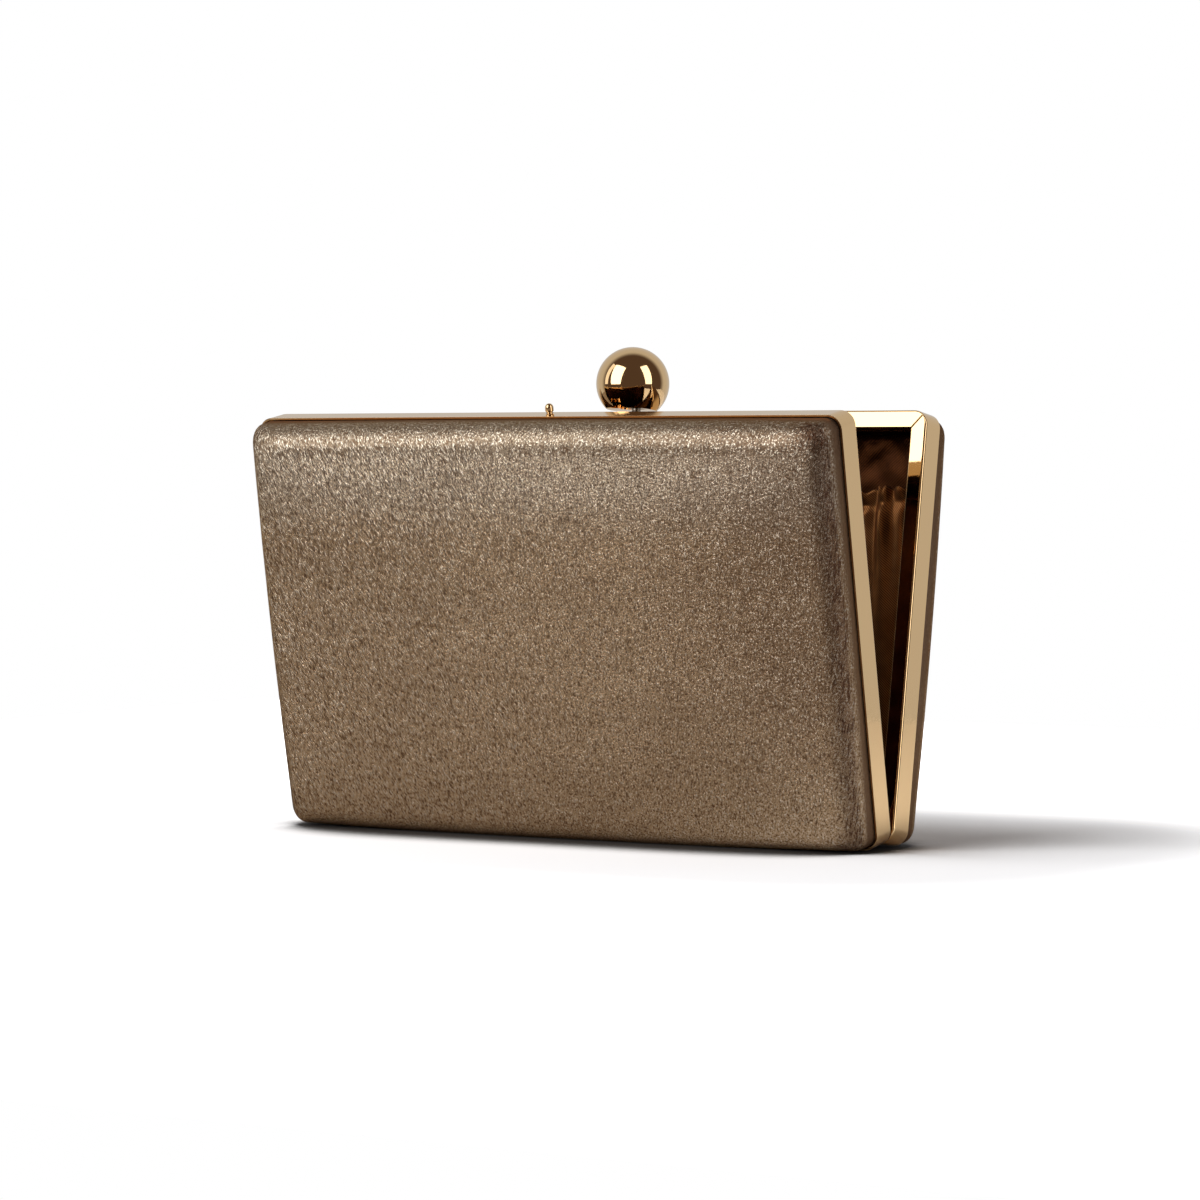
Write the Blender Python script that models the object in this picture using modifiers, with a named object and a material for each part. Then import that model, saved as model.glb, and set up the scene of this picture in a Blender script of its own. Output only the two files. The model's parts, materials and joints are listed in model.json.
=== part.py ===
"""Hard box clutch: two leather covered trays in gold frames, hinged at the bottom, with a ball clasp on top.

The clutch stands open, as it would on a shelf. Each half is modelled closed, around an empty on the hinge axis,
and the empty leans the half back. X runs along the hinge, the front half lies towards -Y, and Z is up.
"""

import math

import bmesh
import bpy
from mathutils import Vector

MM = 0.001

# Frames. Depths are measured from the parting plane, where the halves meet.
FRAME_WIDTH = 180.0 * MM
FRAME_HEIGHT = 112.0 * MM
BAND_DEPTH = 7.7 * MM
WEB_DEPTH = 4.0 * MM
RIM_WALL = 0.5 * MM
EDGE_CHAMFER = 0.7 * MM
BEVEL_WIDTH = 3.9 * MM
BEVEL_DROP = 0.35 * MM
FRAME_CORNER = 4.0 * MM
BEVEL_CORNER = 2.4 * MM
PARTING_GAP = 0.3 * MM
CLEARANCE = 0.3 * MM
OPEN_TILT = math.radians(9.7)

# Leather trays and what lines them, from the outside in.
TRAY_DEPTH = 17.4 * MM
TRAY_CORNER = 3.6 * MM
LEAST_CORNER = 0.8 * MM
EDGE_ROUND = 7.0 * MM
FACE_CROWN = 1.6 * MM
BULGE_TOP = 0.45 * MM
BULGE_BOTTOM = 1.0 * MM
BULGE_SIDE = 0.7 * MM
LEATHER = 0.8 * MM
FOAM = 1.6 * MM
SHELL = 1.4 * MM
CARD = 0.6 * MM
SATIN = 0.4 * MM
REST_FLAT = 0.4 * MM
CORNER_GROWTH = 4.2 * MM
FACE_RING_SHARES = (0.18, 0.45, 0.8)

# Hinges: three knuckles each, the middle one on the front frame.
HINGE_INSET = 36.0 * MM
KNUCKLE_LENGTH = 6.0 * MM
KNUCKLE_GAP = 0.5 * MM
KNUCKLE_RADIUS = 1.7 * MM
HINGE_PIN_RADIUS = 0.75 * MM
PIN_FIT = 0.2 * MM
PIN_END_BEVEL = 0.25 * MM

# Clasp: a ball on a sprung lever in the rear frame, and a pin on the front frame that its socket catches.
BALL_RADIUS = 9.8 * MM
BALL_RISE = 7.6 * MM
BALL_LIFT = 0.8 * MM
NECK_RADIUS = 1.2 * MM
STUD_RADIUS = 0.9 * MM
STUD_REACH = 6.0 * MM
PIVOT_DEPTH = 2.9 * MM
PIVOT_DROP = 6.6 * MM
PIVOT_RADIUS = 0.75 * MM
BARREL_RADIUS = 1.5 * MM
LUG_GAP = 8.0 * MM
LUG_WIDTH = 1.2 * MM
LEVER_BARREL = 5.0 * MM
TAIL_LENGTH = 3.6 * MM
TAIL_THICKNESS = 1.35 * MM
CLASP_TILT = math.radians(10.0)
CATCH_RADIUS = 1.1 * MM
CATCH_RISE = 2.9 * MM
CATCH_DEPTH = 2.0 * MM
SHANK_RADIUS = 0.8 * MM
SHANK_LENGTH = 3.0 * MM
CATCH_PLAY = 0.35 * MM
CATCH_BITE = 0.8 * MM
SPRING_WIRE = 0.4 * MM
SPRING_PITCH = 0.85 * MM
SPRING_TURNS = 2
SPRING_POINTS = 12

# Gathered pocket in the rear tray.
POCKET_DROP = 20.0 * MM
POCKET_FOOT = 9.0 * MM
POCKET_MARGIN = 2.6 * MM
POCKET_CLOTH = 0.5 * MM
POCKET_FOLD = 1.1 * MM
POCKET_FOLDS = 15
FOLD_POINTS = 6
POCKET_ROWS = 6
ELASTIC_HEIGHT = 4.0 * MM
ELASTIC_THICKNESS = 0.6 * MM
ELASTIC_DROP = 1.2 * MM
POCKET_EDGE_POWER = 40
POCKET_EAR = 2.4 * MM
EAR_POWER = 14

OVERRUN = 2.0 * MM
MERGE = 0.00001
CREASE_ANGLE = math.radians(30)
ROUND_SIDES = 20
BALL_SEGMENTS = 28
BALL_RINGS = 18
CORNER_STEPS = 4
INNER_CORNER_STEPS = 3
COVER_LONG_POINTS = 4
COVER_SHORT_POINTS = 3
INNER_POINTS = 2

# Sizes that follow from those above. Heights are measured from the hinge axis.
COVER_POINTS = (COVER_LONG_POINTS, COVER_SHORT_POINTS)
HALF_GAP = PARTING_GAP / 2
BOTTOM = -EDGE_CHAMFER
TOP = BOTTOM + FRAME_HEIGHT
MIDDLE = (BOTTOM + TOP) / 2
HALF_WIDTH = FRAME_WIDTH / 2
HALF_HEIGHT = FRAME_HEIGHT / 2
FRAME_THICKNESS = EDGE_CHAMFER + BEVEL_WIDTH
EDGE_RADIUS = min(EDGE_ROUND, TRAY_DEPTH - BAND_DEPTH - CLEARANCE)
TRAY_INSET = RIM_WALL + CLEARANCE
LIP_DEPTH = WEB_DEPTH + CLEARANCE
SHELL_SIDE = LEATHER + CLEARANCE
SHELL_FACE = SHELL_SIDE + FOAM + CLEARANCE
CARD_STEP = SHELL + CLEARANCE
SATIN_STEP = CARD_STEP + CARD + CLEARANCE
SATIN_SIDE = SHELL_SIDE + SATIN_STEP
SATIN_FLOOR = TRAY_DEPTH - SHELL_FACE - SATIN_STEP - SATIN
PIVOT_HEIGHT = TOP - PIVOT_DROP
BORE_RADIUS = HINGE_PIN_RADIUS + PIN_FIT
ROUND_DEPTH = TRAY_DEPTH - EDGE_RADIUS
ROUND_HEIGHT = BOTTOM + TRAY_INSET - BULGE_BOTTOM + EDGE_RADIUS
LOWEST = ROUND_HEIGHT * math.cos(OPEN_TILT) - ROUND_DEPTH * math.sin(OPEN_TILT) - EDGE_RADIUS
HINGE_HEIGHT = -LOWEST - REST_FLAT
HINGE_LENGTH = 3 * KNUCKLE_LENGTH + 2 * KNUCKLE_GAP
HINGE_PLACES = {"left": HINGE_INSET - HALF_WIDTH, "right": HALF_WIDTH - HINGE_INSET}
SPRING_COIL = PIVOT_RADIUS + CLEARANCE + SPRING_WIRE / 2


def fresh_collection(name):
    """Returns a new collection linked to the scene."""
    collection = bpy.data.collections.new(name)
    bpy.context.scene.collection.children.link(collection)
    return collection


def finish_material(name, color, metallic, roughness):
    """Returns a plain Principled material."""
    material = bpy.data.materials.new(name)
    material.use_nodes = True
    shader = material.node_tree.nodes["Principled BSDF"]
    shader.inputs["Base Color"].default_value = (*color, 1.0)
    shader.inputs["Metallic"].default_value = metallic
    shader.inputs["Roughness"].default_value = roughness
    return material


def add_object(name, data, collection, parent, material=None):
    """Adds an object for a mesh or a curve, in its parent's axes."""
    thing = bpy.data.objects.new(name, data)
    collection.objects.link(thing)
    thing.parent = parent
    if material is not None:
        data.materials.append(material)
    return thing


def add_empty(name, parent, place, lean):
    """Adds an empty on a joint's axis, turned about X."""
    empty = bpy.data.objects.new(name, None)
    parts.objects.link(empty)
    empty.parent = parent
    empty.location = place
    empty.rotation_euler = (lean, 0.0, 0.0)
    return empty


def mesh_from(name, bm):
    """Welds a bmesh and returns it as a smooth mesh with sharp creases."""
    bmesh.ops.remove_doubles(bm, verts=bm.verts, dist=MERGE)
    mesh = bpy.data.meshes.new(name)
    bm.to_mesh(mesh)
    bm.free()
    mesh.shade_smooth()
    mesh.set_sharp_from_angle(angle=CREASE_ANGLE)
    return mesh


def helper(name, mesh, parent):
    """Adds a cutter or a guide, which only shapes other pieces."""
    thing = add_object(name, mesh, cutters, parent)
    thing.hide_render = True
    thing.display_type = "WIRE"
    return thing


def combine(target, tool, operation):
    """Adds a Boolean modifier to the target."""
    modifier = target.modifiers.new(tool.name, "BOOLEAN")
    modifier.operation = operation
    modifier.object = tool
    modifier.solver = "EXACT"


def box_mesh(name, low, high):
    """Returns a box between two corners."""
    bm = bmesh.new()
    bmesh.ops.create_cube(bm, size=1.0)
    for vert in bm.verts:
        vert.co = Vector(
            low[i] + (high[i] - low[i]) * (vert.co[i] + 0.5)
            for i in range(3)
        )
    return mesh_from(name, bm)


def rod_mesh(name, start, end, radius, sides=ROUND_SIDES, bevel=0.0):
    """Returns a cylinder between two points, with optional bevelled ends."""
    start = Vector(start)
    along = Vector(end) - start
    bm = bmesh.new()
    bmesh.ops.create_cone(
        bm,
        cap_ends=True,
        segments=sides,
        radius1=radius,
        radius2=radius,
        depth=along.length,
    )
    if bevel:
        rims = [edge for edge in bm.edges if abs(edge.verts[0].co.z - edge.verts[1].co.z) < MERGE]
        bmesh.ops.bevel(bm, geom=rims, offset=bevel, segments=1, affect="EDGES")
    bm.transform(Vector((0.0, 0.0, 1.0)).rotation_difference(along).to_matrix().to_4x4())
    bmesh.ops.translate(bm, verts=bm.verts, vec=start + along / 2)
    return mesh_from(name, bm)


def outline(half_width, half_height, corner, steps, side_points, bulges=(0.0, 0.0, 0.0)):
    """Returns the (x, z) points of a rounded rectangle about the middle of the frame, counterclockwise.

    The bulges bow its top, bottom and two sides outwards between the corners.
    """
    top, bottom, side = bulges
    flat_x = half_width - corner
    flat_z = half_height - corner
    long_points, short_points = side_points
    runs = (
        (flat_x, flat_z, 0, long_points, (0.0, top)),
        (-flat_x, flat_z, 90, short_points, (-side, 0.0)),
        (-flat_x, -flat_z, 180, long_points, (0.0, -bottom)),
        (flat_x, -flat_z, 270, short_points, (side, 0.0)),
    )
    points = []
    for i, (x, z, start, count, bow) in enumerate(runs):
        for step in range(steps + 1):
            angle = math.radians(start + 90 * step / steps)
            points.append((x + corner * math.cos(angle), z + corner * math.sin(angle)))
        last = points[-1]
        angle = math.radians(start + 90)
        next_x, next_z = runs[(i + 1) % 4][:2]
        goal = (next_x + corner * math.cos(angle), next_z + corner * math.sin(angle))
        for step in range(1, count + 1):
            share = step / (count + 1)
            swell = 1 - (2 * share - 1) ** 2
            points.append(tuple(last[k] + (goal[k] - last[k]) * share + bow[k] * swell for k in (0, 1)))
    return points


def section(points, depth, facing):
    """Places outline points at a depth behind the parting plane. facing is -1 in front and 1 at the rear."""
    return [Vector((x, facing * depth, MIDDLE + z)) for x, z in points]


def loft_mesh(name, sections, facing, ring=False, caps=(False, False)):
    """Skins equal sections in order, as a closed ring or with the ends capped where asked."""
    bm = bmesh.new()
    loops = [[bm.verts.new(point) for point in points] for points in sections]
    pairs = list(zip(loops, loops[1:]))
    if ring:
        pairs.append((loops[-1], loops[0]))
    for near, far in pairs:
        count = len(near)
        for i in range(count):
            j = (i + 1) % count
            bm.faces.new((near[i], near[j], far[j], far[i]))
    if caps[0]:
        bm.faces.new(reversed(loops[0]))
    if caps[1]:
        bm.faces.new(loops[-1])
    if facing > 0:
        bmesh.ops.reverse_faces(bm, faces=bm.faces)
    return mesh_from(name, bm)


def frame_mesh(name, facing):
    """Returns a frame: a ring with a mitred bevel inside, a chamfered edge, a web and a rim round the tray."""
    profile = (
        (0.0, HALF_GAP + EDGE_CHAMFER, FRAME_CORNER),
        (EDGE_CHAMFER, HALF_GAP, BEVEL_CORNER),
        (FRAME_THICKNESS, HALF_GAP + BEVEL_DROP, 0.0),
        (FRAME_THICKNESS, WEB_DEPTH, 0.0),
        (RIM_WALL, WEB_DEPTH, FRAME_CORNER - RIM_WALL),
        (RIM_WALL, BAND_DEPTH, FRAME_CORNER - RIM_WALL),
        (0.0, BAND_DEPTH, FRAME_CORNER),
    )
    sections = []
    for inset, depth, corner in profile:
        half_x = HALF_WIDTH - inset
        half_z = HALF_HEIGHT - inset
        points = outline(half_x, half_z, corner, CORNER_STEPS + 2, (0, 0))
        placed = section(points, depth, facing)
        if corner == BEVEL_CORNER:
            # The corner's points sink onto the two bevels, so that these stay flat up to a crisp mitre.
            for point, (x, z) in zip(placed, points):
                inside = min(half_x - abs(x), half_z - abs(z))
                point.y += facing * BEVEL_DROP * inside / BEVEL_WIDTH
        sections.append(placed)
    return loft_mesh(name, sections, -facing, ring=True)


def swell_at(depth):
    """Returns how much of the side bulge is reached at a depth: none under the rim, all where the edge turns."""
    share = (depth - BAND_DEPTH) / (ROUND_DEPTH - BAND_DEPTH)
    return math.sin(math.pi / 2 * min(max(share, 0.0), 1.0))


def ring_points(inset, extra, edge, depth, steps, side_points):
    """Returns a tray's outline, drawn in by extra: as far as the edge radius the edge turns, then the face runs in.

    Each layer's corners grow rounder as its edge turns, so that the layers stay an even distance apart.
    """
    total = TRAY_INSET + inset + extra
    half_x = HALF_WIDTH - total
    half_z = HALF_HEIGHT - total
    turned = min(extra / edge, 1.0)
    corner = max(TRAY_CORNER - inset, LEAST_CORNER) + (CORNER_GROWTH + EDGE_RADIUS - edge) * turned
    fade = 1 - max(extra - edge, 0.0) / (half_z + extra - edge)
    corner *= fade
    fade *= swell_at(depth - inset)
    bulges = (BULGE_TOP * fade, BULGE_BOTTOM * fade, BULGE_SIDE * fade)
    return outline(half_x, half_z, corner, steps, side_points, bulges)


def crown_at(extra, edge):
    """Returns how far the padded face stands out, drawn in by extra from a tray whose edge radius is given."""
    share = (extra - edge) / (HALF_HEIGHT - TRAY_INSET - edge)
    return FACE_CROWN * (1 - (1 - share) ** 2)


def tray_sections(side_inset, face_inset, facing, steps, side_points, round_steps, crowned):
    """Returns the sections of a tray's outer skin, from its lip in the frame to the middle of its face."""
    edge = EDGE_RADIUS - (side_inset + face_inset) / 2
    face = TRAY_DEPTH - face_inset
    turn = face - edge
    stations = [(LIP_DEPTH, 0.0)]
    if crowned:
        stations += [(BAND_DEPTH, 0.0), ((BAND_DEPTH + turn) / 2, 0.0)]
    for step in range(round_steps + 1):
        angle = math.pi / 2 * step / round_steps
        stations.append((turn + edge * math.sin(angle), edge - edge * math.cos(angle)))
    if crowned:
        reach = HALF_HEIGHT - TRAY_INSET - edge
        for share in FACE_RING_SHARES:
            extra = edge + reach * share
            stations.append((face + crown_at(extra, edge), extra))
    return [
        section(ring_points(side_inset, extra, edge, depth, steps, side_points), depth, facing)
        for depth, extra in stations
    ]


def tray(name, facing, parent, material, side_inset, face_inset, wall, cover=False):
    """Adds a tray as an open skin with its wall thickened inwards."""
    steps = CORNER_STEPS if cover else INNER_CORNER_STEPS
    side_points = COVER_POINTS if cover else (INNER_POINTS, INNER_POINTS)
    sections = tray_sections(side_inset, face_inset, facing, steps, side_points, steps, cover)
    mesh = loft_mesh(name, sections, facing, caps=(False, True))
    thing = add_object(name, mesh, parts, parent, material)
    solidify = thing.modifiers.new("wall", "SOLIDIFY")
    solidify.thickness = wall
    solidify.offset = -1.0
    solidify.use_even_offset = True
    return thing


def padding(name, facing, parent, material):
    """Adds the foam pad that crowns the leather's face, between the leather and the shell."""
    inner = EDGE_RADIUS - SHELL_SIDE
    back = TRAY_DEPTH - SHELL_FACE + CLEARANCE
    stations = []
    for step in range(INNER_CORNER_STEPS):
        depth = back + FOAM * step / (INNER_CORNER_STEPS - 1)
        rise = min(depth - ROUND_DEPTH, inner)
        extra = EDGE_RADIUS - math.sqrt(inner ** 2 - rise ** 2) + CLEARANCE
        stations.append((depth, extra))
    reach = HALF_HEIGHT - TRAY_INSET - EDGE_RADIUS
    for share in FACE_RING_SHARES:
        extra = EDGE_RADIUS + reach * share
        stations.append((back + FOAM + crown_at(extra, EDGE_RADIUS), extra))
    sections = []
    for depth, extra in stations:
        points = ring_points(0.0, extra, EDGE_RADIUS, depth, INNER_CORNER_STEPS, COVER_POINTS)
        sections.append(section(points, depth, facing))
    mesh = loft_mesh(name, sections, facing, caps=(True, True))
    return add_object(name, mesh, parts, parent, material)


def knuckle_span(place):
    """Returns where a knuckle starts and ends along the hinge; place is -1, 0 or 1 in its hinge."""
    middle = place * (KNUCKLE_LENGTH + KNUCKLE_GAP)
    return middle - KNUCKLE_LENGTH / 2, middle + KNUCKLE_LENGTH / 2


def add_knuckles(frame, own, other, parent):
    """Makes room in a frame for the other frame's knuckles, then adds its own and bores them."""
    room = (KNUCKLE_GAP + CLEARANCE) / 2
    for side, hinge_x in HINGE_PLACES.items():
        for place in other:
            start, end = knuckle_span(place)
            mesh = rod_mesh(
                f"{frame.name}_room_{side}{place}",
                (hinge_x + start - room, 0.0, 0.0),
                (hinge_x + end + room, 0.0, 0.0),
                KNUCKLE_RADIUS + CLEARANCE,
            )
            combine(frame, helper(mesh.name, mesh, parent), "DIFFERENCE")
        for place in own:
            start, end = knuckle_span(place)
            mesh = rod_mesh(
                f"{frame.name}_knuckle_{side}{place}",
                (hinge_x + start, 0.0, 0.0),
                (hinge_x + end, 0.0, 0.0),
                KNUCKLE_RADIUS,
            )
            combine(frame, helper(mesh.name, mesh, parent), "UNION")
        reach = HINGE_LENGTH / 2 + OVERRUN
        mesh = rod_mesh(
            f"{frame.name}_bore_{side}",
            (hinge_x - reach, 0.0, 0.0),
            (hinge_x + reach, 0.0, 0.0),
            BORE_RADIUS,
        )
        combine(frame, helper(mesh.name, mesh, parent), "DIFFERENCE")


def turned(name, profile, steps, place, parent, material):
    """Adds a turned piece from the outer side of its profile, top to bottom, as (radius, height) points."""
    mesh = bpy.data.meshes.new(name)
    verts = [(radius, 0.0, height) for radius, height in profile]
    mesh.from_pydata(verts, [(i, i + 1) for i in range(len(verts) - 1)], [])
    thing = add_object(name, mesh, parts, parent, material)
    thing.location = place
    screw = thing.modifiers.new("turn", "SCREW")
    screw.angle = 2 * math.pi
    screw.steps = steps
    screw.render_steps = steps
    screw.use_merge_vertices = True
    screw.merge_threshold = MERGE
    return thing


def catch_pin():
    """Adds the round-tipped pin, its shank in the front frame's top bar."""
    dome = [
        (CATCH_RADIUS * math.sin(angle), CATCH_RISE - CATCH_RADIUS + CATCH_RADIUS * math.cos(angle))
        for angle in (math.pi / 2 * step / CORNER_STEPS for step in range(CORNER_STEPS + 1))
    ]
    profile = dome + [
        (CATCH_RADIUS, CLEARANCE),
        (SHANK_RADIUS, CLEARANCE),
        (SHANK_RADIUS, -SHANK_LENGTH),
        (0.0, -SHANK_LENGTH),
    ]
    place = (0.0, -CATCH_DEPTH, TOP)
    turned("catch_pin", profile, ROUND_SIDES, place, front_axis, gold)


def front_frame():
    """Adds the front frame with its middle knuckles and the bore for the catch pin's shank."""
    frame = add_object("front_frame", frame_mesh("front_frame", -1), parts, front_axis, gold)
    add_knuckles(frame, own=(0,), other=(-1, 1), parent=front_axis)
    mesh = rod_mesh(
        "catch_bore",
        (0.0, -CATCH_DEPTH, TOP - SHANK_LENGTH - CLEARANCE),
        (0.0, -CATCH_DEPTH, TOP + OVERRUN),
        SHANK_RADIUS + PIN_FIT,
    )
    combine(frame, helper("catch_bore", mesh, front_axis), "DIFFERENCE")


def rear_frame():
    """Adds the rear frame with its outer knuckles, the lever's slot and the two lugs under the top bar."""
    frame = add_object("rear_frame", frame_mesh("rear_frame", 1), parts, rear_axis, gold)
    add_knuckles(frame, own=(-1, 1), other=(0,), parent=rear_axis)
    web_foot = TOP - FRAME_THICKNESS
    for side, sign in (("left", -1), ("right", 1)):
        inner = sign * LUG_GAP / 2
        outer = sign * (LUG_GAP / 2 + LUG_WIDTH)
        low_x, high_x = sorted((inner, outer))
        plate = box_mesh(
            f"lug_plate_{side}",
            (low_x, PIVOT_DEPTH - BARREL_RADIUS, PIVOT_HEIGHT),
            (high_x, WEB_DEPTH - CLEARANCE, web_foot + RIM_WALL),
        )
        eye = rod_mesh(
            f"lug_eye_{side}",
            (low_x, PIVOT_DEPTH, PIVOT_HEIGHT),
            (high_x, PIVOT_DEPTH, PIVOT_HEIGHT),
            BARREL_RADIUS,
        )
        for mesh in (plate, eye):
            combine(frame, helper(mesh.name, mesh, rear_axis), "UNION")
    reach = LUG_GAP / 2 + LUG_WIDTH + OVERRUN
    bore = rod_mesh(
        "pivot_bore",
        (-reach, PIVOT_DEPTH, PIVOT_HEIGHT),
        (reach, PIVOT_DEPTH, PIVOT_HEIGHT),
        PIVOT_RADIUS + PIN_FIT,
    )
    swing = PIVOT_DROP * math.tan(CLASP_TILT)
    slot = box_mesh(
        "lever_slot",
        (-NECK_RADIUS - CLEARANCE, PIVOT_DEPTH - NECK_RADIUS - CLEARANCE, web_foot - OVERRUN),
        (NECK_RADIUS + CLEARANCE, PIVOT_DEPTH + NECK_RADIUS + swing + CLEARANCE, TOP + OVERRUN),
    )
    for mesh in (bore, slot):
        combine(frame, helper(mesh.name, mesh, rear_axis), "DIFFERENCE")


def cut_clasp_room(covers):
    """Notches the rear tray's edges, under the frame's rim, to leave the clasp its room."""
    reach = LUG_GAP / 2 + LUG_WIDTH + 2 * CLEARANCE
    mesh = box_mesh(
        "clasp_room",
        (-reach, HALF_GAP, PIVOT_HEIGHT - TAIL_LENGTH - CLEARANCE),
        (reach, BAND_DEPTH - HALF_GAP, TOP + OVERRUN),
    )
    room = helper("clasp_room", mesh, rear_axis)
    for cover in covers:
        combine(cover, room, "DIFFERENCE")


def hinge_pins():
    """Adds a pin to each hinge."""
    reach = HINGE_LENGTH / 2
    for side, hinge_x in HINGE_PLACES.items():
        mesh = rod_mesh(
            f"hinge_pin_{side}",
            (hinge_x - reach, 0.0, 0.0),
            (hinge_x + reach, 0.0, 0.0),
            HINGE_PIN_RADIUS,
            bevel=PIN_END_BEVEL,
        )
        add_object(mesh.name, mesh, parts, rear_axis, steel)


def clasp_lever():
    """Adds the lever: a barrel on the pivot, a neck with a stud for the ball, and a tail for the spring."""
    low_x = -LUG_GAP / 2 + CLEARANCE
    high_x = low_x + LEVER_BARREL
    tail_front = -SPRING_COIL + SPRING_WIRE / 2 + CLEARANCE
    mesh = rod_mesh("clasp_lever", (low_x, 0.0, 0.0), (high_x, 0.0, 0.0), BARREL_RADIUS)
    lever = add_object("clasp_lever", mesh, parts, clasp_axis, steel)
    shoulder = PIVOT_DROP + BALL_LIFT - CLEARANCE
    neck = rod_mesh("lever_neck", (0.0, 0.0, 0.0), (0.0, 0.0, shoulder), NECK_RADIUS)
    stud = rod_mesh("lever_stud", (0.0, 0.0, 0.0), (0.0, 0.0, PIVOT_DROP + STUD_REACH), STUD_RADIUS)
    stem = box_mesh(
        "lever_stem",
        (low_x + MERGE, tail_front, -TAIL_LENGTH),
        (high_x - MERGE, tail_front + TAIL_THICKNESS, 0.0),
    )
    foot = box_mesh(
        "lever_foot",
        (low_x + MERGE, tail_front, -TAIL_LENGTH),
        (-low_x, tail_front + TAIL_THICKNESS, -SPRING_COIL - SPRING_WIRE / 2 - CLEARANCE),
    )
    for mesh in (neck, stud, stem, foot):
        combine(lever, helper(mesh.name, mesh, clasp_axis), "UNION")
    reach = LUG_GAP / 2 + OVERRUN
    bore = rod_mesh("lever_bore", (-reach, 0.0, 0.0), (reach, 0.0, 0.0), PIVOT_RADIUS + PIN_FIT)
    combine(lever, helper("lever_bore", bore, clasp_axis), "DIFFERENCE")


def pivot_pin():
    """Adds the pin that the lever turns on."""
    reach = LUG_GAP / 2 + LUG_WIDTH + CLEARANCE
    mesh = rod_mesh(
        "clasp_pivot_pin",
        (-reach, PIVOT_DEPTH, PIVOT_HEIGHT),
        (reach, PIVOT_DEPTH, PIVOT_HEIGHT),
        PIVOT_RADIUS,
        bevel=PIN_END_BEVEL,
    )
    add_object("clasp_pivot_pin", mesh, parts, rear_axis, steel)


def clasp_spring():
    """Adds the torsion spring on the pivot pin: one leg up to the top bar, one down in front of the tail."""
    coil_start = LUG_GAP / 2 - CLEARANCE - SPRING_WIRE / 2 - SPRING_TURNS * SPRING_PITCH
    front = PIVOT_DEPTH - SPRING_COIL
    leg_top = TOP - FRAME_THICKNESS - CLEARANCE
    leg_foot = PIVOT_HEIGHT - TAIL_LENGTH + CLEARANCE
    points = [Vector((coil_start, front, leg_top))]
    for step in range(SPRING_TURNS * SPRING_POINTS + 1):
        turn = step / SPRING_POINTS
        angle = 2 * math.pi * turn
        points.append(Vector((
            coil_start + SPRING_PITCH * turn,
            PIVOT_DEPTH - SPRING_COIL * math.cos(angle),
            PIVOT_HEIGHT - SPRING_COIL * math.sin(angle),
        )))
    points.append(Vector((coil_start + SPRING_TURNS * SPRING_PITCH, front, leg_foot)))
    curve = bpy.data.curves.new("clasp_spring", "CURVE")
    curve.dimensions = "3D"
    curve.bevel_depth = SPRING_WIRE / 2
    curve.bevel_resolution = 1
    curve.use_fill_caps = True
    spline = curve.splines.new("POLY")
    spline.points.add(len(points) - 1)
    for target, point in zip(spline.points, points):
        target.co = (*point, 1.0)
    print(f"spring: least gap between turns {(SPRING_PITCH - SPRING_WIRE) / MM:.2f} mm")
    add_object("clasp_spring", curve, parts, rear_axis, steel)


def clasp_ball():
    """Adds the ball: cut flat over the frames, bored for the stud, with a socket and an entry for the catch pin."""
    centre_z = PIVOT_DROP + BALL_RISE
    base_z = PIVOT_DROP + BALL_LIFT
    bm = bmesh.new()
    bmesh.ops.create_uvsphere(bm, u_segments=BALL_SEGMENTS, v_segments=BALL_RINGS, radius=BALL_RADIUS)
    bmesh.ops.translate(bm, verts=bm.verts, vec=(0.0, -PIVOT_DEPTH, centre_z))
    ball = add_object("clasp_ball", mesh_from("clasp_ball", bm), parts, clasp_axis, gold)
    flat = box_mesh(
        "ball_flat",
        (-BALL_RADIUS - OVERRUN, -BALL_RADIUS - PIVOT_DEPTH - OVERRUN, base_z - BALL_RADIUS),
        (BALL_RADIUS + OVERRUN, BALL_RADIUS + OVERRUN, base_z),
    )
    bore = rod_mesh(
        "ball_bore",
        (0.0, 0.0, base_z - OVERRUN),
        (0.0, 0.0, PIVOT_DROP + STUD_REACH + CLEARANCE),
        STUD_RADIUS + CLEARANCE,
    )
    catch_y = -PIVOT_DEPTH - CATCH_DEPTH
    socket_radius = CATCH_RADIUS + CATCH_PLAY
    socket = rod_mesh(
        "ball_socket",
        (0.0, catch_y, base_z - OVERRUN),
        (0.0, catch_y, PIVOT_DROP + CATCH_RISE + CATCH_PLAY),
        socket_radius,
    )
    entry = box_mesh(
        "ball_entry",
        (-CATCH_RADIUS - CLEARANCE, -PIVOT_DEPTH - BALL_RADIUS - OVERRUN, base_z - OVERRUN),
        (CATCH_RADIUS + CLEARANCE, catch_y, PIVOT_DROP + CATCH_RISE - CATCH_BITE),
    )
    for mesh in (flat, bore, socket, entry):
        combine(ball, helper(mesh.name, mesh, clasp_axis), "DIFFERENCE")


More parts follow.
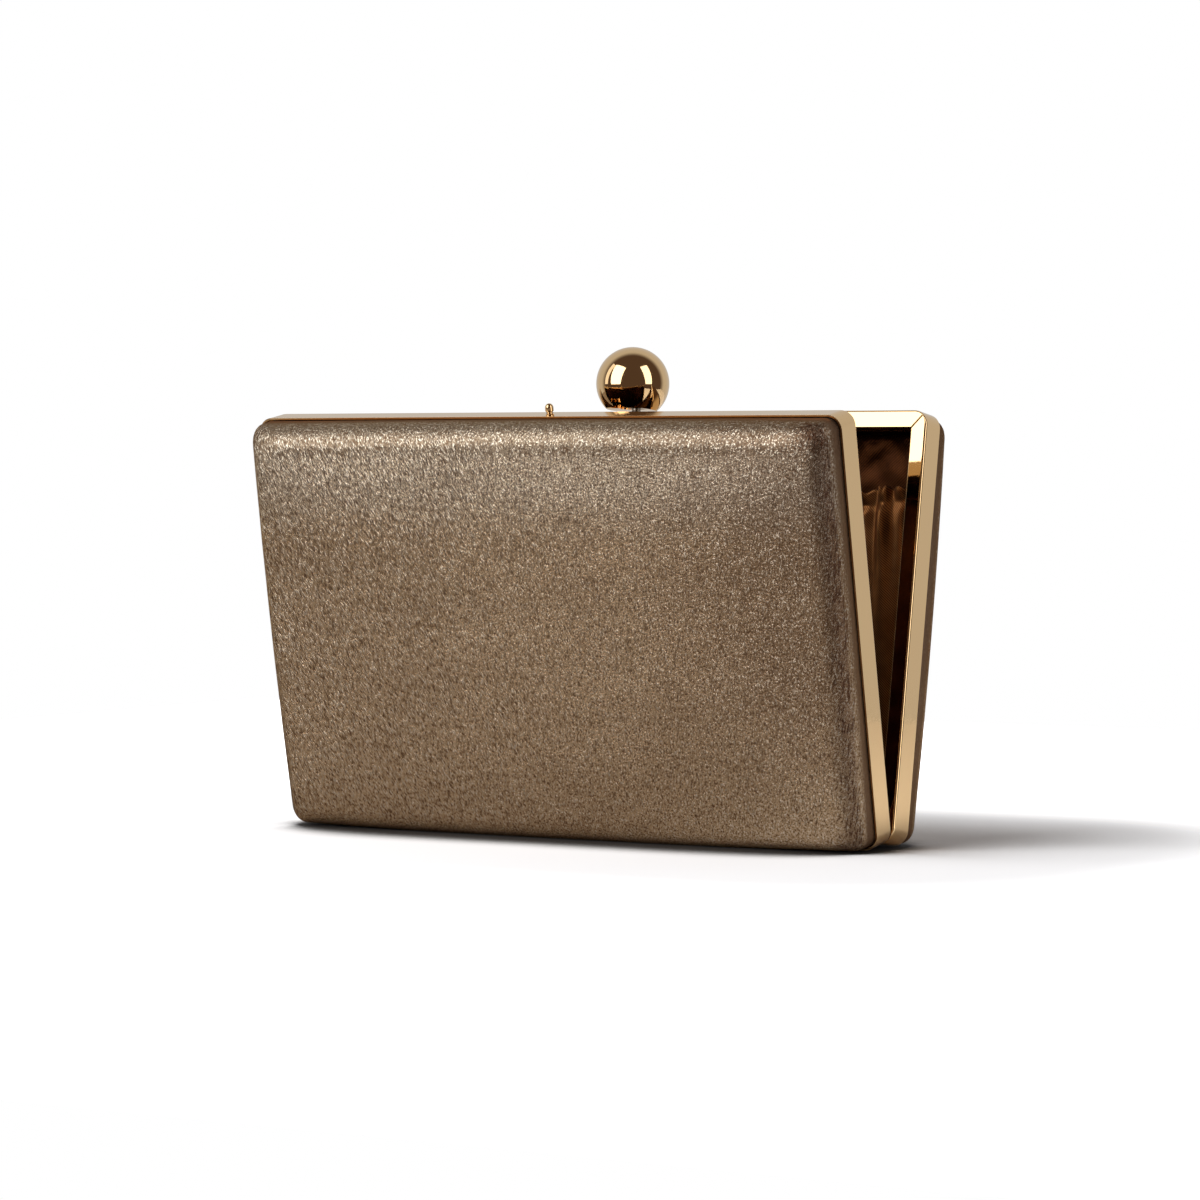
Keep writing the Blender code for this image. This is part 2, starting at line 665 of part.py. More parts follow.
def pocket():
    """Adds the gathered satin pocket and the elastic that draws its mouth in."""
    half = HALF_WIDTH - TRAY_INSET - SATIN_SIDE - SATIN - POCKET_MARGIN
    foot = BOTTOM + POCKET_FOOT
    mouth = TOP - POCKET_DROP
    rest = CLEARANCE + POCKET_CLOTH / 2
    stand = rest + ELASTIC_THICKNESS + CLEARANCE + POCKET_FOLD
    columns = POCKET_FOLDS * FOLD_POINTS
    bm = bmesh.new()
    bmesh.ops.create_grid(bm, x_segments=columns, y_segments=POCKET_ROWS, size=1.0)
    for vert in bm.verts:
        across = vert.co.x
        up = (vert.co.y + 1) / 2
        # The cloth lies flat along its foot and sides, and stands off in gathers towards its mouth, which its
        # sewn ends hold up.
        free = math.sin(math.pi / 2 * up) * (1 - across ** POCKET_EDGE_POWER)
        fold = math.cos(math.pi * POCKET_FOLDS * (across + 1)) * POCKET_FOLD * up
        off = rest + free * (stand - rest + fold)
        rise = mouth - foot + POCKET_EAR * across ** EAR_POWER
        vert.co = Vector((half * across, SATIN_FLOOR - off, foot + rise * up))
    mesh = mesh_from("pocket", bm)
    cloth = add_object("pocket", mesh, parts, rear_axis, satin)
    solidify = cloth.modifiers.new("cloth", "SOLIDIFY")
    solidify.thickness = POCKET_CLOTH
    solidify.offset = 0.0
    top = mouth - ELASTIC_DROP
    reach = half * (1 - FOLD_POINTS / columns)
    band = box_mesh(
        "pocket_elastic",
        (-reach, SATIN_FLOOR - CLEARANCE - ELASTIC_THICKNESS, top - ELASTIC_HEIGHT),
        (reach, SATIN_FLOOR - CLEARANCE, top),
    )
    add_object("pocket_elastic", band, parts, rear_axis, elastic)


def half_tray(prefix, facing, parent):
    """Adds one half's leather, padding, shell, lining card and satin, and returns those that wrap the clasp."""
    cover = tray(f"{prefix}_leather", facing, parent, leather, 0.0, 0.0, LEATHER, cover=True)
    combine(cover, floor_cutter, "DIFFERENCE")
    padding(f"{prefix}_padding", facing, parent, foam)
    shell = tray(f"{prefix}_shell", facing, parent, plastic, SHELL_SIDE, SHELL_FACE, SHELL)
    card_insets = (SHELL_SIDE + CARD_STEP, SHELL_FACE + CARD_STEP)
    card = tray(f"{prefix}_lining_card", facing, parent, board, *card_insets, CARD)
    satin_insets = (SHELL_SIDE + SATIN_STEP, SHELL_FACE + SATIN_STEP)
    lining = tray(f"{prefix}_lining", facing, parent, satin, *satin_insets, SATIN)
    return cover, shell, card, lining


for old in list(bpy.data.objects):
    bpy.data.objects.remove(old, do_unlink=True)

parts = fresh_collection("clutch")
cutters = fresh_collection("cutters")

gold = finish_material("plated_gold", (0.66, 0.49, 0.27), 1.0, 0.12)
leather = finish_material("bronze_leather", (0.24, 0.17, 0.11), 0.35, 0.45)
satin = finish_material("brown_satin", (0.06, 0.025, 0.012), 0.0, 0.35)
plastic = finish_material("moulded_plastic", (0.05, 0.05, 0.05), 0.0, 0.5)
board = finish_material("grey_board", (0.35, 0.33, 0.3), 0.0, 0.9)
foam = finish_material("foam", (0.75, 0.74, 0.7), 0.0, 0.9)
elastic = finish_material("woven_elastic", (0.05, 0.03, 0.02), 0.0, 0.8)
steel = finish_material("steel", (0.5, 0.5, 0.5), 1.0, 0.3)

front_axis = add_empty("front_axis", None, (0.0, 0.0, HINGE_HEIGHT), OPEN_TILT)
rear_axis = add_empty("rear_axis", None, (0.0, 0.0, HINGE_HEIGHT), -OPEN_TILT)
clasp_axis = add_empty("clasp_axis", rear_axis, (0.0, PIVOT_DEPTH, PIVOT_HEIGHT), 0.0)

floor_cutter = helper(
    "floor",
    box_mesh(
        "floor",
        (-FRAME_WIDTH, -FRAME_WIDTH, -FRAME_HEIGHT),
        (FRAME_WIDTH, FRAME_WIDTH, 0.0),
    ),
    None,
)

front_frame()
catch_pin()
half_tray("front", -1, front_axis)

rear_frame()
cut_clasp_room(half_tray("rear", 1, rear_axis))
hinge_pins()
pocket()
pivot_pin()
clasp_spring()
clasp_lever()
clasp_ball()
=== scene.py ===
# %% [markdown]
# A hard box clutch, dressed for its portrait. Two shallow trays, covered in bronze leather over foam, sit in
# polished gold frames that are hinged at the bottom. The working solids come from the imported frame, which
# nothing here may move. This script adds what the eye looks for: soft leather, gathered satin, the finely
# rounded edges and mirror finish of the gold, the light and the camera.

# %% Load the frame
import json
import math
import random

import bmesh
import bpy
import numpy as np
from mathutils import Matrix, Vector


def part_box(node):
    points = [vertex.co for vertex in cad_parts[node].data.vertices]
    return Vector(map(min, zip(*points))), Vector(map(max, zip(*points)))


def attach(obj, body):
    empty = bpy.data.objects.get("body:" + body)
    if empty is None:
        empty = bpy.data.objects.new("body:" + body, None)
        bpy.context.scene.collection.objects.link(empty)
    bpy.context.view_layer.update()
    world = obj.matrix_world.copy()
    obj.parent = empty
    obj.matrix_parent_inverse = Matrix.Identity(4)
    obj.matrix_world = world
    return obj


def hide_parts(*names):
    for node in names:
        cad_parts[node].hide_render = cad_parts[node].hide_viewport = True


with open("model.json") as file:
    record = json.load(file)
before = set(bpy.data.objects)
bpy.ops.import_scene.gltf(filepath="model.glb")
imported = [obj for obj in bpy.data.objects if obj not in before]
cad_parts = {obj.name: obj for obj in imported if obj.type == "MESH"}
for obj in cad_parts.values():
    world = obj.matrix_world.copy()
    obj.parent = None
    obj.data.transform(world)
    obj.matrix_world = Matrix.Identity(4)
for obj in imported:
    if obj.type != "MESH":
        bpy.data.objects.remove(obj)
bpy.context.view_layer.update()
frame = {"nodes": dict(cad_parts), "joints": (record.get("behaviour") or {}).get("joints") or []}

MM = 0.001

# %% [markdown]
# The two halves are mirror images that lean away from each other. It is easiest to model a half as if the
# clutch were closed, in three plain sizes: x along the hinge, depth behind the plane where the halves meet, and
# z above the hinge. One function then leans the result back to where the frame holds it. The lean and the
# hinge's height are read from the frame's own joint, so the looks can't drift away from the solids.

# %% Sizes of the case
hinge = next(joint for joint in frame["joints"] if joint["name"] == "main_hinge")
HINGE_HEIGHT = hinge["pos_m"][2]
LEAN = math.radians(-hinge["range_deg"][0]) / 2
FRAME_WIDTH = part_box("front_frame")[1].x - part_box("front_frame")[0].x
FRAME_HEIGHT = 112.0 * MM
EDGE_ROUNDING = 0.7 * MM
BAND_DEPTH = 7.7 * MM
WEB_DEPTH = 4.0 * MM
HALF_GAP = 0.15 * MM
CLEARANCE = 0.3 * MM
RIM_WALL = 0.5 * MM
TRAY_DEPTH = 17.4 * MM
BOTTOM = -EDGE_ROUNDING
TOP = BOTTOM + FRAME_HEIGHT
MIDDLE = (BOTTOM + TOP) / 2
HALF_WIDTH = FRAME_WIDTH / 2
HALF_HEIGHT = FRAME_HEIGHT / 2
FRONT, REAR = -1, 1


def lean_back(points, facing):
    """Takes (x, depth, z) rows of a half modelled closed to their place in the open clutch."""
    x, depth, z = np.asarray(points, float).reshape(-1, 3).T
    y = depth * math.cos(LEAN) + z * math.sin(LEAN)
    up = z * math.cos(LEAN) - depth * math.sin(LEAN)
    return np.column_stack((x, facing * y, up + HINGE_HEIGHT))


print(f"lean {math.degrees(LEAN):.1f} degrees, hinge {HINGE_HEIGHT / MM:.2f} mm above the shelf")

# %% [markdown]
# The camera stands where the photographer's stood: a long lens, about 1.2 m away, a little above the shelf and
# 32 degrees round to the right. These angles came from matching edges of the frame in the photograph.

# %% Camera
CAMERA_YAW = math.radians(32.51)
CAMERA_PITCH = math.radians(2.15)
CAMERA_ROLL = math.radians(-0.26)
CAMERA_DISTANCE = 1201.6 * MM
CAMERA_TARGET = Vector((2.04 * MM, 0.0, 62.3 * MM))
FOCAL_PIXELS = 4548.0
IMAGE_PIXELS = 1200.0

to_camera = Vector((
    math.sin(CAMERA_YAW) * math.cos(CAMERA_PITCH),
    -math.cos(CAMERA_YAW) * math.cos(CAMERA_PITCH),
    math.sin(CAMERA_PITCH),
))
camera = bpy.data.objects.new("camera", bpy.data.cameras.new("camera"))
bpy.context.scene.collection.objects.link(camera)
camera.location = CAMERA_TARGET + to_camera * CAMERA_DISTANCE
roll = Matrix.Rotation(CAMERA_ROLL, 3, "Z")
camera.rotation_euler = (to_camera.to_track_quat("Z", "Y").to_matrix() @ roll).to_euler()
camera.data.lens = camera.data.sensor_width * FOCAL_PIXELS / IMAGE_PIXELS
camera.data.clip_start = 10.0 * MM
bpy.context.scene.camera = camera
print(f"lens {camera.data.lens:.0f} mm")

# %% [markdown]
# Every material below is a small graph of nodes. One helper adds a node, sets it and joins it up, so that a
# graph reads top to bottom like a recipe. Colours are written the way a paint chart gives them, as hex, and one
# function turns them into the linear numbers that a renderer works in.

# %% Helpers for materials


def linear(hex_code):
    """Returns the linear colour of an sRGB hex code such as #b89d72."""
    channels = [int(hex_code[i:i + 2], 16) / 255 for i in (1, 3, 5)]
    return tuple(c / 12.92 if c <= 0.04045 else ((c + 0.055) / 1.055) ** 2.4 for c in channels) + (1.0,)


def node(tree, kind, inputs=None, **settings):
    """Adds a node. inputs maps a socket's name or number to a constant or to another node's output."""
    made = tree.nodes.new(kind)
    for name, value in settings.items():
        setattr(made, name, value)
    for socket, value in (inputs or {}).items():
        if isinstance(value, bpy.types.NodeSocket):
            tree.links.new(value, made.inputs[socket])
        else:
            made.inputs[socket].default_value = value
    return made


def new_material(name, **constants):
    """Returns a material, its node tree and its Principled shader, with constants set on the shader."""
    material = bpy.data.materials.new(name)
    material.use_nodes = True
    tree = material.node_tree
    shader = tree.nodes["Principled BSDF"]
    for socket, value in constants.items():
        shader.inputs[socket.replace("_", " ")].default_value = value
    return material, tree, shader


def rise(tree, factor, low, high, start=0.0, end=1.0):
    """Goes from start to end as the factor goes from low to high."""
    share = node(tree, "ShaderNodeMapRange", {0: factor, 1: low, 2: high, 3: start, 4: end})
    share.interpolation_type = "SMOOTHSTEP"
    return share.outputs[0]


def blend(tree, share, low_color, high_color):
    """Mixes two colours, each a hex code or another node's output."""
    mix = node(tree, "ShaderNodeMix", {0: share}, data_type="RGBA")
    for socket, color in ((6, low_color), (7, high_color)):
        if isinstance(color, str):
            mix.inputs[socket].default_value = linear(color)
        else:
            tree.links.new(color, mix.inputs[socket])
    return mix.outputs[2]


def work_out(tree, operation, *values):
    """Does one sum with numbers and outputs, such as MULTIPLY or ADD."""
    return node(tree, "ShaderNodeMath", dict(enumerate(values)), operation=operation).outputs[0]


def per(size):
    """A texture's scale for a feature of this real size."""
    return 1.0 / size


print("linear value of mid grey:", round(linear("#808080")[0], 3))

# %% [markdown]
# The frames, the ball and the pin are zinc or brass, polished and then plated in pale gold. A mirror finish
# shows the room and not itself, so the base colour is the tint that it gives to what it reflects. The polishing
# wheel leaves a faint waviness and a roughness that drifts a little over a few millimetres.

# %% Plated gold
GOLD_TINT = "#e8c593"


def plated_gold():
    """Pale gold plating on polished metal."""
    polish_drift = 9.0 * MM
    wheel_marks = 1.4 * MM
    wheel_relief = 0.05 * MM
    material, tree, shader = new_material("plated_gold", Base_Color=linear(GOLD_TINT), Metallic=1.0)
    place = node(tree, "ShaderNodeTexCoord").outputs["Object"]
    drift = node(tree, "ShaderNodeTexNoise", {"Vector": place, "Scale": per(polish_drift), "Detail": 3.0})
    rough = rise(tree, drift.outputs[0], 0.3, 0.7, 0.03, 0.07)
    tree.links.new(rough, shader.inputs["Roughness"])
    marks = node(tree, "ShaderNodeTexNoise", {"Vector": place, "Scale": per(wheel_marks), "Detail": 2.0})
    bump = node(
        tree, "ShaderNodeBump",
        {"Height": marks.outputs[0], "Strength": 0.03, "Distance": wheel_relief},
    )
    tree.links.new(bump.outputs[0], shader.inputs["Normal"])
    return material


gold = plated_gold()
print("made", gold.name)

# %% [markdown]
# The covers are leather with a bronze metallic foil finish. Foil on crushed grain glitters: each tiny wrinkle
# tilts the foil towards the light or away from it. The grain is a third to half a millimetre across. Towards the
# left of the face it is pulled out into slanting slivers, towards the right it is crushed into small cells, and a
# slow noise lets the border between them wander. Fine dark lines run down the face and crowd together along the
# rounded sides, where the leather bunches. The walls that go into the frame are stretched smooth and stay dark.

# %% Places on a piece


def own_axes(tree):
    """Returns a piece's own place with x and y made positive, so that one recipe suits both halves."""
    place = node(tree, "ShaderNodeTexCoord").outputs["Object"]
    return node(tree, "ShaderNodeVectorMath", {0: place}, operation="ABSOLUTE").outputs[0]


def measure(tree, vector, heading, start=0.0):
    """Returns how far a place lies along a heading, from a start."""
    along = node(tree, "ShaderNodeVectorMath", {0: vector, 1: heading}, operation="DOT_PRODUCT")
    return work_out(tree, "ADD", along.outputs["Value"], start)


print("depth runs along", [round(part, 3) for part in (math.cos(LEAN), -math.sin(LEAN))], "in y and z")

# %% Bronze leather
# A grain has a size, a lean from upright, how many times longer it is than wide, and a noise's detail.
SLIVERS = (0.32 * MM, math.radians(-27), 4.5, 2.0)
CELLS = (0.44 * MM, math.radians(14), 1.3, 4.0)
DARK_LINES = (0.6 * MM, math.radians(5), 7.0, 3.0)
GRAIN_RELIEF = 0.2 * MM
WAVY = 0.2 * MM
WAVE_LENGTH = 3.0 * MM
BORDER_SWEEP = 30.0 * MM
BORDER_WANDER = 80.0 * MM
PATCH = 45.0 * MM
# Bands across a cover: where a change starts and where it is complete.
GRAIN_BORDER = (-40.0 * MM, 90.0 * MM)
WALL_GRAIN = (10.5 * MM, 12.5 * MM)
WALL_TONE = (10.5 * MM, 13.0 * MM)
WALL_SHEEN = (10.5 * MM, 14.0 * MM)
EDGE_DEPTH = 14.6 * MM
EDGE_REACH = (3.2 * MM, 0.5 * MM)
SIDE_EDGE = (79.0 * MM, 85.0 * MM)
FACE_HEIGHT = (15.0 * MM, 95.0 * MM)
# The bands below bound painted light and shade: a highlight near the top, shade under the top edge, on the right and
# at the foot.
PAINTED_TOP_LIGHT = (78.0 * MM, 96.0 * MM)
TOP_EDGE = (100.0 * MM, 105.0 * MM)
RIGHT_SIDE = (20.0 * MM, 82.0 * MM)
UPPER_PART = (5.0 * MM, 50.0 * MM)
FOOT = (0.0, 16.0 * MM)


def bronze_leather():
    """Metallic foil leather with a fine crushed grain."""
    material, tree, shader = new_material("bronze_leather", Metallic=0.92)
    # Seen along the surface, the foil goes dark and brown instead of pale.
    shader.inputs["Specular Tint"].default_value = linear("#ab8d70")
    place = node(tree, "ShaderNodeTexCoord").outputs["Object"]
    mirrored = own_axes(tree)
    side = measure(tree, place, (1.0, 0.0, 0.0))
    across = measure(tree, mirrored, (1.0, 0.0, 0.0))
    depth = measure(tree, mirrored, (0.0, math.cos(LEAN), -math.sin(LEAN)), HINGE_HEIGHT * math.sin(LEAN))
    height = measure(tree, mirrored, (0.0, math.sin(LEAN), math.cos(LEAN)), -HINGE_HEIGHT * math.cos(LEAN))

    slow = node(tree, "ShaderNodeTexNoise", {"Vector": place, "Scale": per(BORDER_SWEEP), "Detail": 1.0})
    bend = node(tree, "ShaderNodeTexNoise", {"Vector": place, "Scale": per(WAVE_LENGTH), "Detail": 2.0})
    wavy = node(
        tree, "ShaderNodeVectorMath",
        {0: bend.outputs["Color"], 1: (WAVY, WAVY, WAVY), 2: place},
        operation="MULTIPLY_ADD",
    )

    def grain(size, lean, stretch, detail):
        """A noise pulled out along a line that leans from upright."""
        pulled = node(
            tree, "ShaderNodeMapping",
            {"Vector": wavy.outputs[0], "Rotation": (0.0, lean, 0.0), "Scale": (1.0, 1.0, stretch)},
            vector_type="TEXTURE",
        )
        return node(
            tree, "ShaderNodeTexNoise",
            {"Vector": pulled.outputs[0], "Scale": per(size), "Detail": detail, "Roughness": 0.6},
        ).outputs[0]

    # A plain average of two noises is flat, so their shares are a cosine and a sine, which keeps the contrast.
    slivers = work_out(tree, "SUBTRACT", grain(*SLIVERS), 0.5)
    cells = work_out(tree, "SUBTRACT", grain(*CELLS), 0.5)
    wandering_side = work_out(tree, "MULTIPLY_ADD", slow.outputs[0], BORDER_WANDER, side)
    turn = rise(tree, wandering_side, *GRAIN_BORDER, 0.0, math.pi / 2)
    slivers = work_out(tree, "MULTIPLY_ADD", slivers, work_out(tree, "COSINE", turn), 0.5)
    wrinkles = work_out(tree, "MULTIPLY_ADD", cells, work_out(tree, "SINE", turn), slivers)

    on_edge = work_out(tree, "ABSOLUTE", work_out(tree, "SUBTRACT", depth, EDGE_DEPTH))
    on_edge = rise(tree, on_edge, *EDGE_REACH)
    beside = work_out(tree, "MULTIPLY", on_edge, rise(tree, across, *SIDE_EDGE))
    lines = rise(tree, grain(*DARK_LINES), 0.52, 0.6)
    lines = work_out(tree, "MULTIPLY", lines, rise(tree, beside, 0.0, 1.0, 0.4, 1.0))
    tree.links.new(rise(tree, depth, *WALL_SHEEN, 0.5, 0.25), shader.inputs["Roughness"])
    off_wall = rise(tree, depth, *WALL_GRAIN, 0.12, 1.0)
    relief = work_out(tree, "MULTIPLY_ADD", wrinkles, off_wall, work_out(tree, "MULTIPLY", lines, -0.3))
    bump = node(tree, "ShaderNodeBump", {"Height": relief, "Strength": 1.0, "Distance": GRAIN_RELIEF})
    tree.links.new(bump.outputs[0], shader.inputs["Normal"])

    patches = node(tree, "ShaderNodeTexNoise", {"Vector": place, "Scale": per(PATCH), "Detail": 4.0})
    # A painted shade darkens the right of the face, more so higher up.
    right_side = rise(tree, side, *RIGHT_SIDE, 0.0, 0.4)
    shaded_upper_right = work_out(tree, "MULTIPLY", right_side, rise(tree, height, *UPPER_PART, 0.2))
    shaded_right_edge = work_out(tree, "MULTIPLY", on_edge, rise(tree, side, *SIDE_EDGE))
    # The base tint is paler low on the face than high up, and a faint painted shade darkens the very foot. Furrows
    # are browner than the ridges beside them.
    tone = blend(tree, rise(tree, height, *FACE_HEIGHT), "#d8bd9a", "#bfa686")
    for share, color in (
        (rise(tree, patches.outputs[0], 0.3, 0.7, 0.0, 0.12), "#6f5641"),
        # Near the top a painted highlight makes the foil paler and greyer, just under the top edge a painted shade
        # darkens it, and the upper right gets painted shade.
        (rise(tree, height, *PAINTED_TOP_LIGHT, 0.0, 0.55), "#cdc1ae"),
        (rise(tree, height, *TOP_EDGE, 0.0, 0.6), "#7d6c58"),
        (shaded_upper_right, "#6f5340"),
        (rise(tree, wrinkles, 0.36, 0.5, 1.0, 0.0), "#70563f"),
        (rise(tree, wrinkles, 0.54, 0.64), "#f0e6d4"),
        (work_out(tree, "MULTIPLY", lines, 0.8), "#422618"),
        # The right edge gets the deepest painted shade.
        (work_out(tree, "MULTIPLY", shaded_right_edge, 0.65), "#452a1d"),
        (rise(tree, depth, *WALL_TONE, 0.95, 0.0), "#7a6350"),
        (rise(tree, height, *FOOT, 0.1, 0.0), "#5c4334"),
    ):
        tone = blend(tree, share, tone, color)
    tree.links.new(tone, shader.inputs["Base Color"])
    return material


leather = bronze_leather()
print("made", leather.name)

# %% [markdown]
# The lining and the pocket are polyester satin in dark chocolate. Satin floats its warp threads over the weft,
# so it shines along the folds and drops to near black between them, and the floats line up in fine slanted
# ribs. The threads are a tenth of a millimetre apart, too fine to see here, so the ribs are drawn coarser, 0.6 mm
# apart on the lining and 0.45 mm on the pocket.

# %% Chocolate satin


def chocolate_satin(name, slant, rib, valley, dark, light):
    """Woven polyester satin. slant is 1 or -1, for ribs that fall to the right or to the left."""
    crumple = 5.0 * MM
    crumple_relief = 0.8 * MM
    rib_relief = 0.06 * MM
    material, tree, shader = new_material(name, Metallic=0.8, Roughness=0.36)
    shader.inputs["Specular Tint"].default_value = linear("#b07a4c")
    place = node(tree, "ShaderNodeTexCoord").outputs["Object"]
    # A rib of this width needs this heading, because the wave texture turns once in pi / 10 of a unit.
    heading = math.pi / 10 / rib
    slanted = measure(tree, place, (heading * math.sqrt(0.5), 0.0, slant * heading * math.sqrt(0.5)))
    ribs = node(
        tree, "ShaderNodeTexWave",
        {"Vector": node(tree, "ShaderNodeCombineXYZ", {0: slanted}).outputs[0], "Scale": 1.0},
        wave_type="BANDS", bands_direction="X",
    )
    soft = node(tree, "ShaderNodeTexNoise", {"Vector": place, "Scale": per(crumple), "Detail": 4.0})
    tone = blend(tree, rise(tree, soft.outputs[0], 0.3, 0.7), dark, light)
    tone = blend(tree, rise(tree, ribs.outputs["Fac"], 0.1, 0.6), valley, tone)
    tree.links.new(tone, shader.inputs["Base Color"])
    threads = node(
        tree, "ShaderNodeBump",
        {"Height": ribs.outputs["Fac"], "Strength": 0.6, "Distance": rib_relief},
    )
    creases = node(
        tree, "ShaderNodeBump",
        {
            "Height": soft.outputs[0], "Strength": 0.4, "Distance": crumple_relief,
            "Normal": threads.outputs[0],
        },
    )
    tree.links.new(creases.outputs[0], shader.inputs["Normal"])
    return material


# Both copies are the same satin: the lining's is painted darker, a painted shade, and the pocket's much lighter, a
# painted light on the pocket's folds.
shaded_lining_satin = chocolate_satin("chocolate_satin_lining_painted_shade", -1, 0.6 * MM, "#2a150a", "#3a1f10", "#472712")
lit_pocket_satin = chocolate_satin("chocolate_satin_pocket_painted_light", 1, 0.45 * MM, "#55331a", "#8e5e37", "#a16e42")
print("made", shaded_lining_satin.name, "and", lit_pocket_satin.name)

# %% [markdown]
# The pieces that the covers hide still get their own finish, because they show when the clutch is taken apart:
# moulded plastic shells, grey board under the lining, open foam under the leather, drawn steel pins and the
# woven elastic in the pocket's hem. Each is one grain of the right size over one colour.

# %% Inner materials


def grained(name, dark, light, grain_size, depth, **constants):
    """A material of one grain: a noise of that size gives both its tone and its relief."""
    material, tree, shader = new_material(name, **constants)
    place = node(tree, "ShaderNodeTexCoord").outputs["Object"]
    noise = node(tree, "ShaderNodeTexNoise", {"Vector": place, "Scale": per(grain_size), "Detail": 4.0})
    tone = blend(tree, rise(tree, noise.outputs[0], 0.35, 0.65), dark, light)
    tree.links.new(tone, shader.inputs["Base Color"])
    bump = node(tree, "ShaderNodeBump", {"Height": noise.outputs[0], "Strength": 0.5, "Distance": depth})
    tree.links.new(bump.outputs[0], shader.inputs["Normal"])
    return material


steel = grained("drawn_steel", "#8d8d8c", "#a3a3a1", 0.6 * MM, 0.01 * MM, Metallic=1.0, Roughness=0.28)
abs_plastic = grained("moulded_abs", "#141414", "#1d1c1b", 0.7 * MM, 0.02 * MM, Roughness=0.48)
board = grained("grey_board", "#6f6b64", "#857f76", 0.5 * MM, 0.04 * MM, Roughness=0.9)
foam = grained("polyurethane_foam", "#cbc7bb", "#dedacf", 0.6 * MM, 0.15 * MM, Roughness=0.95)
elastic = grained("woven_elastic", "#1c120c", "#2f2018", 0.5 * MM, 0.05 * MM, Roughness=0.85)
print("made", ", ".join(m.name for m in (steel, abs_plastic, board, foam, elastic)))

# %% [markdown]
# Pieces whose solids already have the right shape only change their finish: the pins, the lever, the spring and
# the hidden layers.

# %% Finish the solids that stay
KEPT = {
    "clasp_lever": steel,
    "clasp_pivot_pin": steel,
    "clasp_spring": steel,
    "hinge_pin_left": steel,
    "hinge_pin_right": steel,
    "front_shell": abs_plastic,
    "rear_shell": abs_plastic,
    "front_lining_card": board,
    "rear_lining_card": board,
}
for name, material in KEPT.items():
    solid = frame["nodes"][name]
    solid.data.materials.clear()
    solid.data.materials.append(material)
print("finished", len(KEPT), "solids")

# %% [markdown]
# Every piece made here is a mesh of points and faces. The helpers add one, thicken a skin into a wall, and cut
# or join pieces with small tools: a block and a rod, which are set out closed and then lean back like the rest.
# A polished edge needs its shading looked after. Weighted normals keep the broad faces flat and leave all the
# turning to the narrow rounded edges, which is how a polished bar looks.

# %% Helpers for pieces
CREASE = math.radians(25)
WELD = 0.001 * MM
TOOL_SIDES = 48


def new_piece(name, points, faces, material):
    """Adds a smooth mesh object with one material."""
    mesh = bpy.data.meshes.new(name)
    mesh.from_pydata([tuple(p) for p in points], [], faces)
    mesh.shade_smooth()
    mesh.materials.append(material)
    piece = bpy.data.objects.new(name, mesh)
    bpy.context.scene.collection.objects.link(piece)
    return piece


def weld(piece):
    """Merges points that meet, drops faces that vanish, and turns all faces outwards."""
    bm = bmesh.new()
    bm.from_mesh(piece.data)
    bmesh.ops.remove_doubles(bm, verts=bm.verts, dist=WELD)
    bmesh.ops.recalc_face_normals(bm, faces=bm.faces)
    bm.to_mesh(piece.data)
    bm.free()
    return piece


def apply_modifiers(piece):
    """Replaces a piece's mesh by what its modifiers make of it."""
    graph = bpy.context.evaluated_depsgraph_get()
    mesh = bpy.data.meshes.new_from_object(
        piece.evaluated_get(graph), preserve_all_data_layers=True, depsgraph=graph,
    )
    piece.modifiers.clear()
    piece.data = mesh


def thicken(piece, thickness, offset=-1.0, even=True):
    """Gives a skin its wall and applies it."""
    solidify = piece.modifiers.new("wall", "SOLIDIFY")
    solidify.thickness = thickness
    solidify.offset = offset
    solidify.use_even_offset = even
    apply_modifiers(piece)


def combine(piece, tool, operation):
    """Cuts a tool out of a piece or joins it on, and throws the tool away."""
    change = piece.modifiers.new("change", "BOOLEAN")
    change.operation = operation
    change.object = tool
    change.solver = "EXACT"
    apply_modifiers(piece)
    bpy.data.objects.remove(tool)


def block(low, high, facing, slope=0.0):
    """Adds a box between two corners of (x, depth, z). Its top can rise with depth by a slope."""
    corners = [
        (x, depth, z + (slope * depth if z == high[2] else 0.0))
        for x in (low[0], high[0]) for depth in (low[1], high[1]) for z in (low[2], high[2])
    ]
    faces = [(0, 1, 3, 2), (4, 6, 7, 5), (0, 4, 5, 1), (2, 3, 7, 6), (0, 2, 6, 4), (1, 5, 7, 3)]
    return weld(new_piece("block", lean_back(corners, facing), faces, gold))


def rod(start, end, radius, facing):
    """Adds a cylinder between two points of (x, depth, z)."""
    start, end = (Vector(point) for point in lean_back([start, end], facing))
    along = end - start
    bm = bmesh.new()
    bmesh.ops.create_cone(
        bm, cap_ends=True, segments=TOOL_SIDES, radius1=radius, radius2=radius, depth=along.length,
    )
    turn = Vector((0.0, 0.0, 1.0)).rotation_difference(along).to_matrix().to_4x4()
    bm.transform(Matrix.Translation((start + end) / 2) @ turn)
    mesh = bpy.data.meshes.new("rod")
    bm.to_mesh(mesh)
    bm.free()
    mesh.materials.append(gold)
    piece = bpy.data.objects.new("rod", mesh)
    bpy.context.scene.collection.objects.link(piece)
    return piece


def polish(piece):
    """Keeps broad faces flat, rounds the shading of narrow edges, and leaves true corners sharp."""
    piece.data.shade_smooth()
    piece.data.set_sharp_from_angle(angle=CREASE)
    weighted = piece.modifiers.new("flat faces", "WEIGHTED_NORMAL")
    weighted.keep_sharp = True
    apply_modifiers(piece)


def place(piece, body, node_name, slot):
    """Rides a piece on a body, in place of one of the frame's solids."""
    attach(piece, body)
    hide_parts(node_name)
    return piece


print("a tool has", TOOL_SIDES, "sides")

# %% [markdown]
# A frame is a ring. Its section starts on the outer wall, turns over a rounded edge, runs down a shallow
# bevel, and comes back along the web and a thin rim that grips the tray. It could be bent from one bar, and the
# real one is mitred: the four bevels meet in crisp diagonal lines, with a hair of a gap where they were
# soldered. So each corner's points are laid onto the two bevel planes, and the middle one is sunk into a groove.

